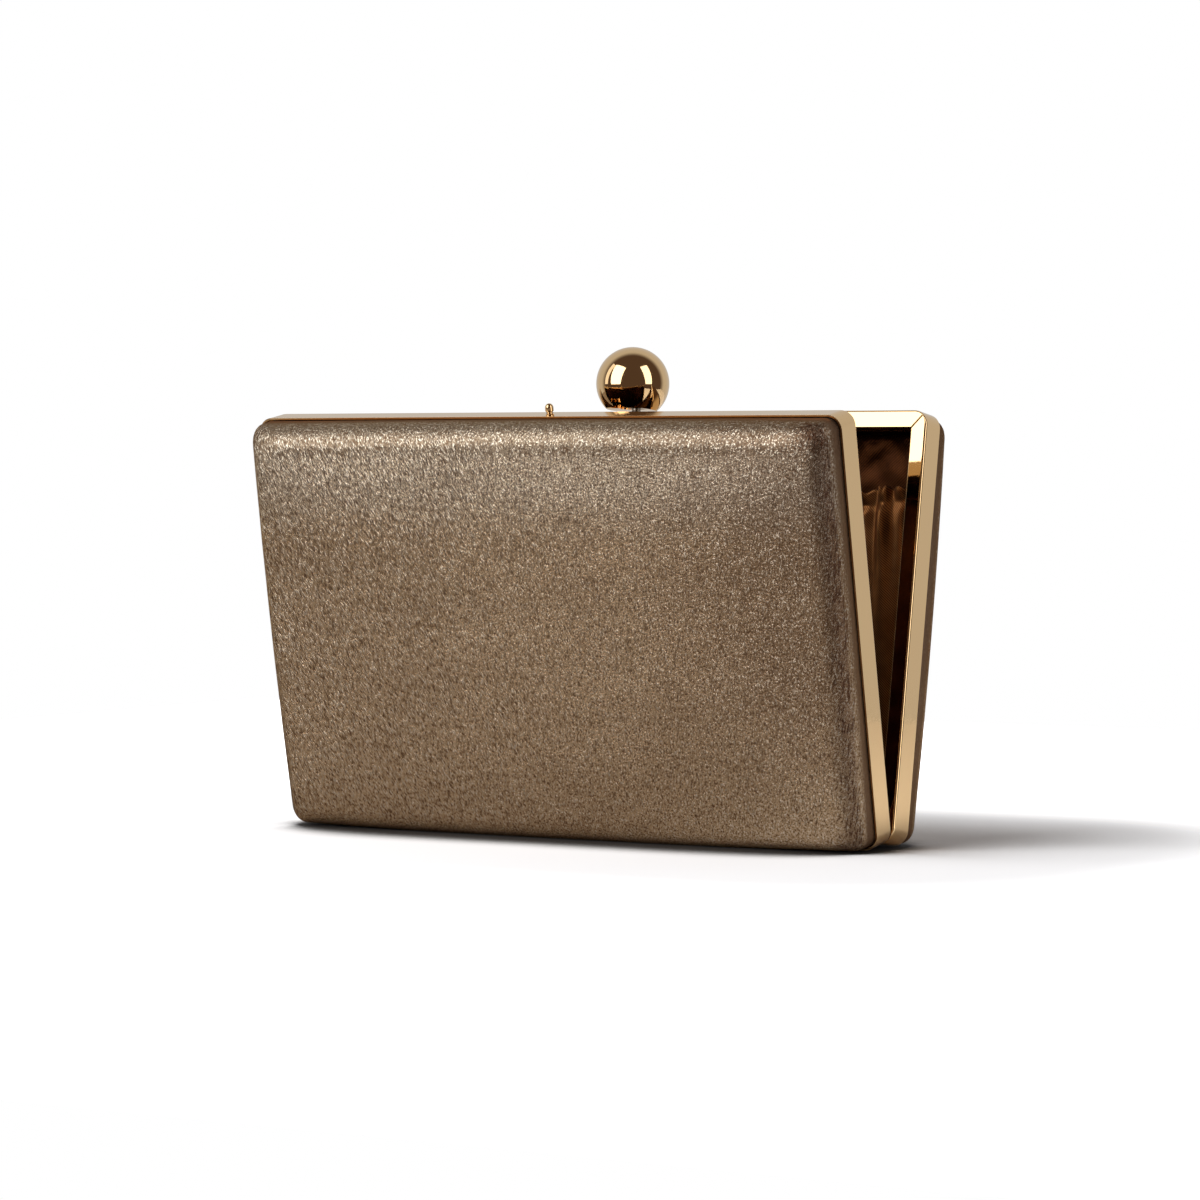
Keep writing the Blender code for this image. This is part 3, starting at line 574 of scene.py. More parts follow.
# %% Outline of a frame
BEVEL_WIDTH = 3.9 * MM
BEVEL_DROP = 0.35 * MM
FRAME_CORNER = 4.0 * MM
BEVEL_CORNER = 2.4 * MM
MITRE_HALF = 0.26 * MM
MITRE_SINK = 0.25 * MM
EDGE_STEPS = 7
FILLET_STEPS = 5
INNER_FILLET = 0.3 * MM
RIM_EASE = 0.02 * MM
TURNING_ROOM = 0.02 * MM
FRAME_THICKNESS = EDGE_ROUNDING + BEVEL_WIDTH
MITRE_TURN = math.degrees(MITRE_HALF / BEVEL_CORNER)
CORNER_ANGLES = (0.0, 8.0, 16.0, 24.0, 32.0, 39.0, 45.0 - MITRE_TURN, 45.0)
CORNER_ANGLES += tuple(90.0 - angle for angle in CORNER_ANGLES[-2::-1])
MITRE = len(CORNER_ANGLES) // 2


def quarter(steps):
    """Returns the sines and cosines of a quarter turn."""
    return [(math.sin(math.pi / 2 * i / steps), math.cos(math.pi / 2 * i / steps)) for i in range(steps + 1)]


def frame_section():
    """Returns a frame's section, once round, as rows of inset, depth, corner radius, mitre gap and mitre sink."""
    rows = []
    for sine, cosine in quarter(EDGE_STEPS):
        inset = EDGE_ROUNDING * (1 - cosine)
        share = inset / EDGE_ROUNDING
        corner = FRAME_CORNER + (BEVEL_CORNER - FRAME_CORNER) * share
        depth = HALF_GAP + EDGE_ROUNDING * (1 - sine)
        rows.append((inset, depth, corner, 0.0, MITRE_SINK * share ** 4))
    bevel_foot = HALF_GAP + BEVEL_DROP * (1 - INNER_FILLET / BEVEL_WIDTH)
    gap = MITRE_HALF * math.sqrt(2)
    for sine, cosine in quarter(FILLET_STEPS):
        inset = FRAME_THICKNESS - INNER_FILLET * (1 - sine)
        rows.append((inset, bevel_foot + INNER_FILLET * (1 - cosine), 0.0, gap, MITRE_SINK * cosine))
    rows.append((FRAME_THICKNESS, WEB_DEPTH, 0.0, 0.0, 0.0))
    rows.append((RIM_WALL, WEB_DEPTH, FRAME_CORNER - RIM_WALL, 0.0, 0.0))
    for sine, cosine in quarter(FILLET_STEPS):
        inset = RIM_WALL - RIM_EASE * (1 - cosine)
        rows.append((inset, BAND_DEPTH - RIM_EASE * (1 - sine), FRAME_CORNER - inset, 0.0, 0.0))
    for sine, cosine in quarter(FILLET_STEPS):
        inset = RIM_EASE * (1 - sine)
        rows.append((inset, BAND_DEPTH - RIM_EASE * (1 - cosine), FRAME_CORNER - inset, 0.0, 0.0))
    return rows


def frame_ring(inset, depth, corner, gap, sink):
    """Returns one ring of a frame as (x, depth, z) rows."""
    half_x, half_z = HALF_WIDTH - inset, HALF_HEIGHT - inset
    on_bevel = min(inset / EDGE_ROUNDING, 1.0) if corner else 0.0
    rows = []
    for sign_x, sign_z, start in ((1, 1, 0), (-1, 1, 90), (-1, -1, 180), (1, -1, 270)):
        for i, degrees in enumerate(CORNER_ANGLES):
            angle = math.radians(start + degrees)
            x = sign_x * (half_x - corner) + corner * math.cos(angle)
            z = sign_z * (half_z - corner) + corner * math.sin(angle)
            if i != MITRE:
                along = math.radians(start + (90 if i < MITRE else 0))
                x -= gap * math.cos(along)
                z -= gap * math.sin(along)
            inside = min(half_x - abs(x), half_z - abs(z)) if inset < FRAME_THICKNESS / 2 else 0.0
            laid = BEVEL_DROP * inside / BEVEL_WIDTH * on_bevel ** 2 if depth < WEB_DEPTH else 0.0
            height = MIDDLE + z
            # Under the hinge's axis the edge is eased, or the frames would touch there as the case opens wide.
            eased = max(depth + laid, TURNING_ROOM - height)
            rows.append((x, eased + (sink if i == MITRE else 0.0), height))
    return rows


print("one ring of a frame has", 4 * len(CORNER_ANGLES), "points")

# %% [markdown]
# The hinges are part of the frames: three knuckles on each side, bored for a pin, the middle one on the front
# frame. Each frame is also hollowed where the other frame's knuckles turn. Holes and knuckles like these are
# awkward to weave into a ring of points, so they are cut out and joined on. The front frame also has a bore for
# the catch pin in its top bar.

# %% Front frame and hinges
HINGE_X = HALF_WIDTH - 36.0 * MM
KNUCKLE = 6.0 * MM
KNUCKLE_STEP = 6.5 * MM
KNUCKLE_RADIUS = 1.7 * MM
PIN_BORE = 0.95 * MM
PIVOT_DEPTH = 2.9 * MM
PIVOT_Z = TOP - 6.6 * MM
LUG_RADIUS = 1.5 * MM
CATCH_DEPTH = 2.0 * MM
CATCH_BORE = 1.0 * MM
CATCH_BORE_DROP = 3.3 * MM
KNUCKLE_ROOM = 0.4 * MM
PIN_REACH = 12.0 * MM
PAST = 2.0 * MM


def add_hinges(piece, facing, own, other):
    """Hollows a frame for the other's knuckles, adds its own, and bores them."""
    for middle in (-HINGE_X, HINGE_X):
        for step in other:
            x = middle + step * KNUCKLE_STEP
            half = KNUCKLE / 2 + KNUCKLE_ROOM
            tool = rod((x - half, 0, 0), (x + half, 0, 0), KNUCKLE_RADIUS + CLEARANCE, facing)
            combine(piece, tool, "DIFFERENCE")
        for step in own:
            x = middle + step * KNUCKLE_STEP
            tool = rod((x - KNUCKLE / 2, 0, 0), (x + KNUCKLE / 2, 0, 0), KNUCKLE_RADIUS, facing)
            combine(piece, tool, "UNION")
        tool = rod((middle - PIN_REACH, 0, 0), (middle + PIN_REACH, 0, 0), PIN_BORE, facing)
        combine(piece, tool, "DIFFERENCE")


def bar_frame(name, facing):
    """Adds the plain ring of a frame."""
    rings = [frame_ring(*row) for row in frame_section()]
    count = len(rings[0])
    faces = []
    for i in range(len(rings)):
        after = (i + 1) % len(rings)
        for j in range(count):
            k = (j + 1) % count
            faces.append((i * count + j, i * count + k, after * count + k, after * count + j))
    return weld(new_piece(name, lean_back(np.vstack(rings), facing), faces, gold))


front_bar = bar_frame("front_bar", FRONT)
add_hinges(front_bar, FRONT, own=(0,), other=(-1, 1))
combine(
    front_bar,
    rod((0, CATCH_DEPTH, TOP - CATCH_BORE_DROP), (0, CATCH_DEPTH, TOP + PAST), CATCH_BORE, FRONT),
    "DIFFERENCE",
)
polish(front_bar)
place(front_bar, "front_half", "front_frame", "plated_gold")
print("front frame:", len(front_bar.data.polygons), "faces")

# %% [markdown]
# The rear frame starts as the same ring. Two lugs hang under its top bar and hold the pivot pin that the clasp
# tilts on, and a slot lets the clasp's lever through. The slot is cut last, so that it stays open.

# %% Rear frame
LUG_SPAN = (4.0 * MM, 5.2 * MM)
PIVOT_REACH = 8.0 * MM
SLOT_HALF = 1.5 * MM
SLOT_DEPTHS = (1.4 * MM, 5.56 * MM)
SLOT_DROP = 7.0 * MM

rear_bar = bar_frame("rear_bar", REAR)
add_hinges(rear_bar, REAR, own=(-1, 1), other=(0,))
for side in (-1, 1):
    low_x, high_x = sorted(side * x for x in LUG_SPAN)
    lug_top = TOP - FRAME_THICKNESS + RIM_WALL
    plate = block(
        (low_x, PIVOT_DEPTH - LUG_RADIUS, PIVOT_Z),
        (high_x, WEB_DEPTH - CLEARANCE, lug_top),
        REAR,
    )
    combine(rear_bar, plate, "UNION")
    combine(
        rear_bar,
        rod((low_x, PIVOT_DEPTH, PIVOT_Z), (high_x, PIVOT_DEPTH, PIVOT_Z), LUG_RADIUS, REAR),
        "UNION",
    )
combine(
    rear_bar,
    rod((-PIVOT_REACH, PIVOT_DEPTH, PIVOT_Z), (PIVOT_REACH, PIVOT_DEPTH, PIVOT_Z), PIN_BORE, REAR),
    "DIFFERENCE",
)
slot = block((-SLOT_HALF, SLOT_DEPTHS[0], TOP - SLOT_DROP), (SLOT_HALF, SLOT_DEPTHS[1], TOP + PAST), REAR)
combine(rear_bar, slot, "DIFFERENCE")
polish(rear_bar)
place(rear_bar, "rear_half", "rear_frame", "plated_gold")
print("rear frame:", len(rear_bar.data.polygons), "faces")

# %% [markdown]
# The catch pin is a small turned part: a shank pressed into the front frame and a round-tipped head above it.
# A turned shape is drawn as half a profile and swept once round.

# %% Catch pin


def turned(name, profile, foot, facing, material):
    """Adds a turned piece from its (radius, height) profile, on an upright axis over foot."""
    points, faces = [], []
    for radius, height in profile:
        for i in range(TOOL_SIDES):
            angle = math.tau * i / TOOL_SIDES
            points.append((
                foot[0] + radius * math.cos(angle), foot[1] + radius * math.sin(angle), foot[2] + height,
            ))
    for row in range(len(profile) - 1):
        for i in range(TOOL_SIDES):
            j = (i + 1) % TOOL_SIDES
            near, far = row * TOOL_SIDES, (row + 1) * TOOL_SIDES
            faces.append((near + i, near + j, far + j, far + i))
    return weld(new_piece(name, lean_back(points, facing), faces, material))


CATCH_RADIUS = 1.1 * MM
CATCH_RISE = 2.5 * MM
CATCH_STEPS = 12
HEAD_FOOT = 0.5 * MM
HEAD_BEVEL = 0.2 * MM
SHANK_RADIUS = 0.8 * MM
SHANK_DROP = 3.0 * MM
dome = [
    (CATCH_RADIUS * sine, CATCH_RISE - CATCH_RADIUS * (1 - cosine))
    for sine, cosine in quarter(CATCH_STEPS)
]
pin = turned(
    "catch_bullet",
    dome + [
        (CATCH_RADIUS, HEAD_FOOT), (CATCH_RADIUS - HEAD_BEVEL, CLEARANCE), (SHANK_RADIUS, CLEARANCE),
        (SHANK_RADIUS, -SHANK_DROP), (0.0, -SHANK_DROP),
    ],
    (0.0, CATCH_DEPTH, TOP), FRONT, gold,
)
polish(pin)
place(pin, "front_half", "catch_pin", "plated_gold")
print("catch pin stands", CATCH_RISE / MM, "mm over the frame")

# %% [markdown]
# The ball is what the eye goes to, and a mirror shows every flat facet, so it is remade far finer than the
# working solid. It is cut flat underneath, a little lower in front, where its tilt needs no room. It is bored for
# the lever's stud, and has a socket for the catch pin with a slot in front that the pin enters by.

# %% Ball
BALL_RADIUS = 9.8 * MM
BALL_Z = TOP + 7.6 * MM
BALL_FLAT = TOP + 0.5 * MM
FLAT_SLOPE = 0.05
BALL_SEGMENTS, BALL_RINGS = 144, 96
STUD_BORE = 1.2 * MM
STUD_TOP = TOP + 6.3 * MM
SOCKET = 1.45 * MM
SOCKET_TOP = TOP + 3.25 * MM
ENTRY_HALF = 1.4 * MM
ENTRY_TOP = TOP + 2.1 * MM


def polished_ball():
    """Adds the clasp's ball."""
    centre = Vector(lean_back([(0, 0, BALL_Z)], REAR)[0])
    bm = bmesh.new()
    bmesh.ops.create_uvsphere(bm, u_segments=BALL_SEGMENTS, v_segments=BALL_RINGS, radius=BALL_RADIUS)
    bmesh.ops.translate(bm, verts=bm.verts, vec=centre)
    mesh = bpy.data.meshes.new("polished_ball")
    bm.to_mesh(mesh)
    bm.free()
    mesh.materials.append(gold)
    piece = bpy.data.objects.new("polished_ball", mesh)
    bpy.context.scene.collection.objects.link(piece)
    past, under = BALL_RADIUS + PAST, BALL_FLAT - PAST
    cuts = (
        block((-past, -past, BALL_Z - past), (past, past, BALL_FLAT), REAR, FLAT_SLOPE),
        rod((0, PIVOT_DEPTH, under), (0, PIVOT_DEPTH, STUD_TOP), STUD_BORE, REAR),
        rod((0, -CATCH_DEPTH, under), (0, -CATCH_DEPTH, SOCKET_TOP), SOCKET, REAR),
        block((-ENTRY_HALF, -past, under), (ENTRY_HALF, -CATCH_DEPTH, ENTRY_TOP), REAR),
    )
    for tool in cuts:
        combine(piece, tool, "DIFFERENCE")
    polish(piece)
    return piece


ball = place(polished_ball(), "clasp", "clasp_ball", "plated_gold")
print("ball:", len(ball.data.polygons), "faces")

# %% [markdown]
# A tray is a stack of rounded rectangles: it starts inside the frame, comes out straight, turns over a soft
# edge and runs in over the face to the middle. Each outline is one loop of points and neighbouring loops are
# joined with faces, which is what a loft does. The cover, the foam and the lining share these outlines and
# differ only in how far they lie inside the leather.

# %% Outlines of a tray
RIM_AND_GAP = RIM_WALL + CLEARANCE
FRAME_BACK = WEB_DEPTH + CLEARANCE
TRAY_CORNER = 3.6 * MM
CORNER_GROWTH = 4.2 * MM
LEAST_CORNER = 0.8 * MM
EDGE_ROUND = 7.0 * MM
FACE_CROWN = 1.6 * MM
BULGE_TOP = 0.45 * MM
BULGE_BOTTOM = 1.0 * MM
BULGE_SIDE = 0.7 * MM
CORNER_POINTS = 10
LONG_POINTS = 110
SHORT_POINTS = 68
CROWN_POWER = 3
ROOM_HALF = 5.8 * MM
ROOM_DEPTHS = (0.15 * MM, 7.55 * MM)
ROOM_DROP = 10.5 * MM


def outline(half_x, half_z, corner, bow):
    """Returns a rounded rectangle as (x, z) rows, counterclockwise; bow is how far its three kinds of side swell."""
    top, bottom, side = bow
    sides = (
        (1, 1, 0, LONG_POINTS, (0.0, top)),
        (-1, 1, 90, SHORT_POINTS, (-side, 0.0)),
        (-1, -1, 180, LONG_POINTS, (0.0, -bottom)),
        (1, -1, 270, SHORT_POINTS, (side, 0.0)),
    )
    arcs = []
    for sign_x, sign_z, start, _, _ in sides:
        angles = np.radians(np.linspace(start, start + 90, CORNER_POINTS))
        centre = np.array((sign_x * (half_x - corner), sign_z * (half_z - corner)))
        arcs.append(centre + corner * np.column_stack((np.cos(angles), np.sin(angles))))
    rows = []
    for i, (_, _, _, count, swell) in enumerate(sides):
        rows.append(arcs[i])
        share = np.linspace(0, 1, count + 2)[1:-1, None]
        start, end = arcs[i][-1], arcs[(i + 1) % 4][0]
        rows.append(start + (end - start) * share + np.array(swell) * (1 - (2 * share - 1) ** 2))
    return np.vstack(rows)


def tray_loops(side_inset, face_inset, start_depth, turn_steps, face_steps, crown=FACE_CROWN):
    """Returns a tray's outlines as loops of (x, depth, z), from inside the frame to the middle of the face."""
    edge = EDGE_ROUND - (side_inset + face_inset) / 2
    face = TRAY_DEPTH - face_inset
    turn = face - edge
    stations = [(depth, 0.0) for depth in np.linspace(start_depth, turn, turn_steps)[:-1]]
    for angle in np.linspace(0, math.pi / 2, 2 * turn_steps):
        stations.append((turn + edge * math.sin(angle), edge - edge * math.cos(angle)))
    reach = HALF_HEIGHT - RIM_AND_GAP - side_inset - edge
    for share in np.linspace(0, 1, face_steps + 1)[1:-1]:
        stations.append((face + crown * (1 - (1 - share) ** CROWN_POWER), edge + reach * share))
    loops = []
    for depth, extra in stations:
        total = RIM_AND_GAP + side_inset + extra
        half_x, half_z = HALF_WIDTH - total, HALF_HEIGHT - total
        turned_share = min(extra / edge, 1.0)
        growth = (CORNER_GROWTH + EDGE_ROUND - edge) * turned_share
        corner = max(TRAY_CORNER - side_inset, LEAST_CORNER) + growth
        run_in = 1 - max(extra - edge, 0.0) / reach
        depth_share = (depth - side_inset - BAND_DEPTH) / (TRAY_DEPTH - EDGE_ROUND - BAND_DEPTH)
        swell = run_in * math.sin(math.pi / 2 * min(max(depth_share, 0.0), 1.0))
        bow = [swell * size for size in (BULGE_TOP, BULGE_BOTTOM, BULGE_SIDE)]
        ring = outline(half_x, half_z, corner * run_in, bow)
        loops.append(np.column_stack((ring[:, 0], np.full(len(ring), depth), MIDDLE + ring[:, 1])))
    return loops


def skin(name, loops, facing, material, close_face=True):
    """Joins loops of (x, depth, z) into one smooth mesh, leant back into place."""
    count = len(loops[0])
    points = lean_back(np.vstack(loops), facing)
    faces = []
    for i in range(len(loops) - 1):
        for j in range(count):
            k = (j + 1) % count
            corner = (i * count + j, i * count + k, (i + 1) * count + k, (i + 1) * count + j)
            faces.append(corner if facing == FRONT else corner[::-1])
    if close_face:
        last = tuple(range((len(loops) - 1) * count, len(loops) * count))
        faces.append(last if facing == FRONT else last[::-1])
    return new_piece(name, points, faces, material)


def clasp_room():
    """Adds the block that leaves the clasp its room in the rear tray, under the frame's rim."""
    low, high = ROOM_DEPTHS
    return block((-ROOM_HALF, low, TOP - ROOM_DROP), (ROOM_HALF, high, TOP + PAST), REAR)


print("points in one outline:", len(outline(HALF_WIDTH, HALF_HEIGHT, TRAY_CORNER, (0, 0, 0))))

# %% [markdown]
# The leather is glued over foam, so its face is crowned and its surface is never quite flat: it wanders by a
# tenth of a millimetre over a couple of centimetres. That is what breaks up the reflections. A slow noise moves
# each point of the face along its depth. Just inside the rounded sides the foam ends, and the leather sinks a
# little there, in stretches. Where the clutch stands, its weight presses the leather flat, so points that would
# sink below the shelf are lifted onto it.

# %% Leather covers
LEATHER = 0.8 * MM
WANDER = 0.06 * MM
WANDER_LENGTH = 19.0 * MM
SINK = 0.12 * MM
SINK_X = 82.0 * MM
SINK_WIDTH = 2.6 * MM
SINK_LENGTH = 24.0 * MM
NOISE_WAVES = 9


def smooth_noise(points, length, seed):
    """Returns a slow, repeatable noise of about one in size at each point, from a few crossed waves."""
    source = random.Random(seed)
    total = np.zeros(len(points))
    for _ in range(NOISE_WAVES):
        heading = np.array([source.uniform(-1, 1) for _ in range(3)])
        pitch = length * source.uniform(0.6, 1.7)
        wave = points @ (heading / np.linalg.norm(heading)) * math.tau / pitch
        total += np.sin(wave + source.uniform(0, math.tau))
    return total / 3


def leather_cover(name, facing, body):
    """Adds a half's leather cover."""
    loops = tray_loops(0.0, 0.0, FRAME_BACK, turn_steps=6, face_steps=40)
    points = np.vstack(loops)
    free = np.clip((points[:, 1] - BAND_DEPTH) / (TRAY_DEPTH - BAND_DEPTH), 0, 1)
    moved = WANDER * free * smooth_noise(points, WANDER_LENGTH, seed=facing + 5)
    trough = np.exp(-((np.abs(points[:, 0]) - SINK_X) / SINK_WIDTH) ** 2)
    stretches = np.clip(smooth_noise(points, SINK_LENGTH, seed=facing + 21) + 0.3, 0, 1)
    points[:, 1] += moved - SINK * trough * stretches * free ** 4
    piece = skin(name, np.split(points, len(loops)), facing, leather)
    thicken(piece, LEATHER)
    for vertex in piece.data.vertices:
        vertex.co.z = max(vertex.co.z, 0.0)
    if facing == REAR:
        combine(piece, clasp_room(), "DIFFERENCE")
    return place(piece, body, name.replace("_cover", "_leather"), "bronze_leather")


leather_cover("front_cover", FRONT, "front_half")
leather_cover("rear_cover", REAR, "rear_half")
print("leather covers made")

# %% [markdown]
# Under the leather lies a pad of foam that gives the face its crown. It never shows while the clutch is whole,
# but it is the right shape if someone lifts the leather off.

# %% Foam pads
FOAM = 3.0 * MM
PAD_BACK = FOAM - CLEARANCE
PAD_EDGE = 3.4 * MM


def foam_pad(name, facing, body):
    """Adds the crowned foam slab behind a cover's face."""
    inner_face = LEATHER + CLEARANCE
    outer = tray_loops(
        inner_face, inner_face, TRAY_DEPTH - PAD_BACK - PAD_EDGE, turn_steps=3, face_steps=16,
    )
    first = next(i for i, loop in enumerate(outer) if loop[0, 1] > TRAY_DEPTH - PAD_BACK)
    loops = outer[first:]
    base = loops[0].copy()
    base[:, 1] = TRAY_DEPTH - PAD_BACK
    piece = skin(name, [base] + loops, facing, foam)
    bm = bmesh.new()
    bm.from_mesh(piece.data)
    rim = [edge for edge in bm.edges if edge.is_boundary]
    bmesh.ops.contextual_create(bm, geom=rim)
    bm.to_mesh(piece.data)
    bm.free()
    place(piece, body, name.replace("_foam", "_padding"), "foam")
    return piece


foam_pad("front_foam", FRONT, "front_half")
foam_pad("rear_foam", REAR, "rear_half")
print("foam pads made")

# %% [markdown]
# The satin lining is glued into each tray over a thin board. Cloth pushed into a corner never lies quite flat,
# so it stands off the board in low, slow ripples, stronger near the top where it was tucked under the frame.
# They are allowed towards the inside only, because the board is right behind.

# %% Satin linings
SATIN = 0.4 * MM
SATIN_SIDE = 3.7 * MM
SATIN_FACE = 5.6 * MM
RIPPLE = 0.22 * MM
RIPPLE_LENGTH = 8.0 * MM
TUCK = 0.8 * MM
TUCK_HEIGHT = 26.0 * MM


def satin_lining(name, facing, body):
    """Adds a half's satin lining."""
    loops = tray_loops(SATIN_SIDE, SATIN_FACE, FRAME_BACK, turn_steps=4, face_steps=40, crown=0.0)
    points = np.vstack(loops)
    deep = np.clip((points[:, 1] - BAND_DEPTH) / (TRAY_DEPTH - SATIN_FACE - BAND_DEPTH), 0, 1)
    high = np.clip((points[:, 2] - TOP + TUCK_HEIGHT) / TUCK_HEIGHT, 0, 1)
    size = RIPPLE + TUCK * high ** 2
    ripple = 1 + np.clip(smooth_noise(points, RIPPLE_LENGTH, seed=facing + 9), -1, 1)
    points[:, 1] -= size * deep * ripple
    piece = skin(name, np.split(points, len(loops)), facing, shaded_lining_satin)
    thicken(piece, SATIN)
    if facing == REAR:
        combine(piece, clasp_room(), "DIFFERENCE")
    place(piece, body, name.replace("_satin", "_lining"), "brown_satin")
    return piece


satin_lining("front_satin", FRONT, "front_half")
satin_lining("rear_satin", REAR, "rear_half")

# %% [markdown]
# The pocket is a strip of the same satin, cut a third wider than the tray, sewn down along its foot and its two
# ends, and drawn in by an elastic just under its mouth. Cloth drawn in like this gathers into narrow, deep folds
# at the elastic, with a little frill above it, and the folds run together into a few broad ones further down. It
# could be simulated, but folds whose pitch can be counted are easier to steer as a height map: each point of the
# cloth stands off the lining by a sum of waves whose pitch wanders and whose depth fades downwards.

# %% Gathered pocket
POCKET_HALF = 82.7 * MM
POCKET_FOOT = BOTTOM + 9.0 * MM
POCKET_MOUTH = TOP - 20.0 * MM
POCKET_EAR = 2.4 * MM
POCKET_CLOTH = 0.35 * MM
SATIN_FLOOR = TRAY_DEPTH - SATIN_FACE - SATIN
GATHER_PITCH = 5.2 * MM
FRILL_PITCH = 2.7 * MM
BROAD_PITCH = 14.0 * MM
GATHER_DEPTH = 1.1 * MM
FRILL_DEPTH = 0.45 * MM
BROAD_DEPTH = 1.25 * MM
STAND_AT_FOOT = 1.1 * MM
STAND_MORE_AT_MOUTH = 1.5 * MM
SIDE_DRIFT = 5.0 * MM
DRIFT_LENGTH = 17.0 * MM
FRILL_RISE = 0.3 * MM
BROAD_RISE = 0.5 * MM
ELASTIC_LINE = 0.955
PITCH_CHANGES = 7
COLUMNS = 640
ROWS = 110


def wandering_wave(across, pitch, wander, seed):
    """Returns a wave along the pocket whose pitch is never the same twice."""
    source = random.Random(seed)
    phase = math.tau * across / pitch
    for _ in range(PITCH_CHANGES):
        length = pitch * source.uniform(2.2, 7.0)
        phase = phase + wander * np.sin(math.tau * across / length + source.uniform(0, math.tau))
    return np.sin(phase)


def gathered_pocket():
    """Adds the pocket's cloth."""
    across, up = np.meshgrid(np.linspace(-1, 1, COLUMNS), np.linspace(0, 1, ROWS))
    across, up = across.ravel(), up.ravel()
    x = across * POCKET_HALF
    # Folds drift sideways as they come down, which the shift along x gives.
    down = 1 - up
    drift = x + SIDE_DRIFT * down * np.sin(x / DRIFT_LENGTH + 0.6)
    gathers = wandering_wave(drift, GATHER_PITCH, 0.55, seed=4)
    broad = wandering_wave(drift, BROAD_PITCH, 0.8, seed=11)
    frill = wandering_wave(x, FRILL_PITCH, 0.6, seed=23)
    # How far each kind of fold reaches down from the mouth, as shares of the pocket's height.
    at_mouth = np.clip((up - 0.52) / 0.42, 0, 1) ** 1.4
    pinch = np.exp(-((up - ELASTIC_LINE) / 0.018) ** 2)
    above = np.clip((up - ELASTIC_LINE) / (1 - ELASTIC_LINE), 0, 1)
    middle = np.exp(-((up - 0.88) / 0.09) ** 2) + 0.5 * np.exp(-((up - 0.62) / 0.22) ** 2)
    ends = 1 - np.abs(across) ** 30
    stand = (STAND_AT_FOOT + STAND_MORE_AT_MOUTH * np.sin(math.pi / 2 * up)) * (1 - 0.3 * pinch)
    folds = gathers * (GATHER_DEPTH * at_mouth * (1 - 0.55 * pinch)) + broad * BROAD_DEPTH * middle
    folds += frill * FRILL_DEPTH * above
    foot_free = np.clip(up / 0.08, 0, 1)
    off = CLEARANCE + ends * foot_free * np.maximum(stand + folds, 0.0)
    # Where folds crowd together at the elastic, the mouth's edge rises and falls with them.
    edge_rise = above * (FRILL_RISE * frill + BROAD_RISE * broad)
    rise_to = POCKET_MOUTH - POCKET_FOOT + POCKET_EAR * across ** 14
    z = POCKET_FOOT + rise_to * up + edge_rise
    points = np.column_stack((x, SATIN_FLOOR - POCKET_CLOTH / 2 - off, z))
    faces = []
    for row in range(ROWS - 1):
        for column in range(COLUMNS - 1):
            a = row * COLUMNS + column
            faces.append((a, a + 1, a + COLUMNS + 1, a + COLUMNS))
    piece = new_piece("gathered_pocket", lean_back(points, REAR), faces, lit_pocket_satin)
    grid = points.reshape(ROWS, COLUMNS, 3)
    steps = np.linalg.norm(np.diff(grid, axis=1), axis=2).sum(axis=1)
    climb = np.linalg.norm(np.diff(grid, axis=0), axis=2).sum(axis=0)
    thicken(piece, POCKET_CLOTH, offset=0.0, even=False)
    return piece, (float(steps[int(0.9 * ROWS)]), float(climb.mean()))


pocket, pocket_cut = gathered_pocket()
place(pocket, "rear_half", "pocket", "brown_satin")
print("pocket is cut", [round(size / MM) for size in pocket_cut], "mm")

# %% [markdown]
# The elastic lies flat behind the gathers. It is a woven tape with fine ribs along it, modelled as a closed
# band whose section has those ribs.

# %% Elastic
ELASTIC_REACH = 77.0 * MM
ELASTIC_HEIGHT = 4.0 * MM
ELASTIC_THICKNESS = 0.6 * MM
ELASTIC_TOP = POCKET_MOUTH - 1.2 * MM
ELASTIC_RIBS = 5
ELASTIC_STATIONS = 60
RIB_POINTS = 8
RIB_DEPTH = 0.12 * MM


def elastic_tape():
    """Adds the ribbed tape."""
    half, depth = ELASTIC_HEIGHT / 2, ELASTIC_THICKNESS / 2
    section = []
    for side in (1, -1):
        for height in np.linspace(-side, side, RIB_POINTS * ELASTIC_RIBS + 1)[:-1]:
            rib = RIB_DEPTH * (0.5 - 0.5 * math.cos(math.tau * ELASTIC_RIBS * height))
            section.append((side * (depth - rib), height * half))
    stations = np.linspace(-ELASTIC_REACH, ELASTIC_REACH, ELASTIC_STATIONS)
    middle_depth = SATIN_FLOOR - CLEARANCE - depth
    points = [
        (x, middle_depth + d, ELASTIC_TOP - half + z)
        for x in stations for d, z in section
    ]
    count = len(section)
    faces = [
        (s * count + i, s * count + (i + 1) % count, (s + 1) * count + (i + 1) % count, (s + 1) * count + i)
        for s in range(len(stations) - 1) for i in range(count)
    ]
    faces += [tuple(range(count)), tuple(range((len(stations) - 1) * count, len(stations) * count))]
    return weld(new_piece("elastic_tape", lean_back(points, REAR), faces, elastic))


tape = place(elastic_tape(), "rear_half", "pocket_elastic", "woven_elastic")
print("elastic:", len(tape.data.polygons), "faces")

# %% [markdown]
# The clutch stands on a shelf of matt card. It is white at the back and grey in front, a painted shade that the
# gold and the covers mirror. For the camera alone it is one pale tone, with a painted contact shadow nearly black
# right under the clutch, and lifted to pure white away from it, so that only the shadow stays. The card's colour
# does this, and not more light, which would bleach the clutch too.

# %% Floor and backdrop
CAMERA_LIFT = 1.0
FOOTPRINT = (86.0 * MM, 24.0 * MM, 0.0)
TO_FRONT_LEFT = (-0.5, -0.87, 0.0)
GREY_FRONT = (-80.0 * MM, 20.0 * MM)
OPEN_SKY = (0.5, 0.74)
LIFT_START = 60.0 * MM
LIFT_END = 140.0 * MM
CONTACT_REACH = 42.0 * MM
FLOOR_SIZE = 0.9


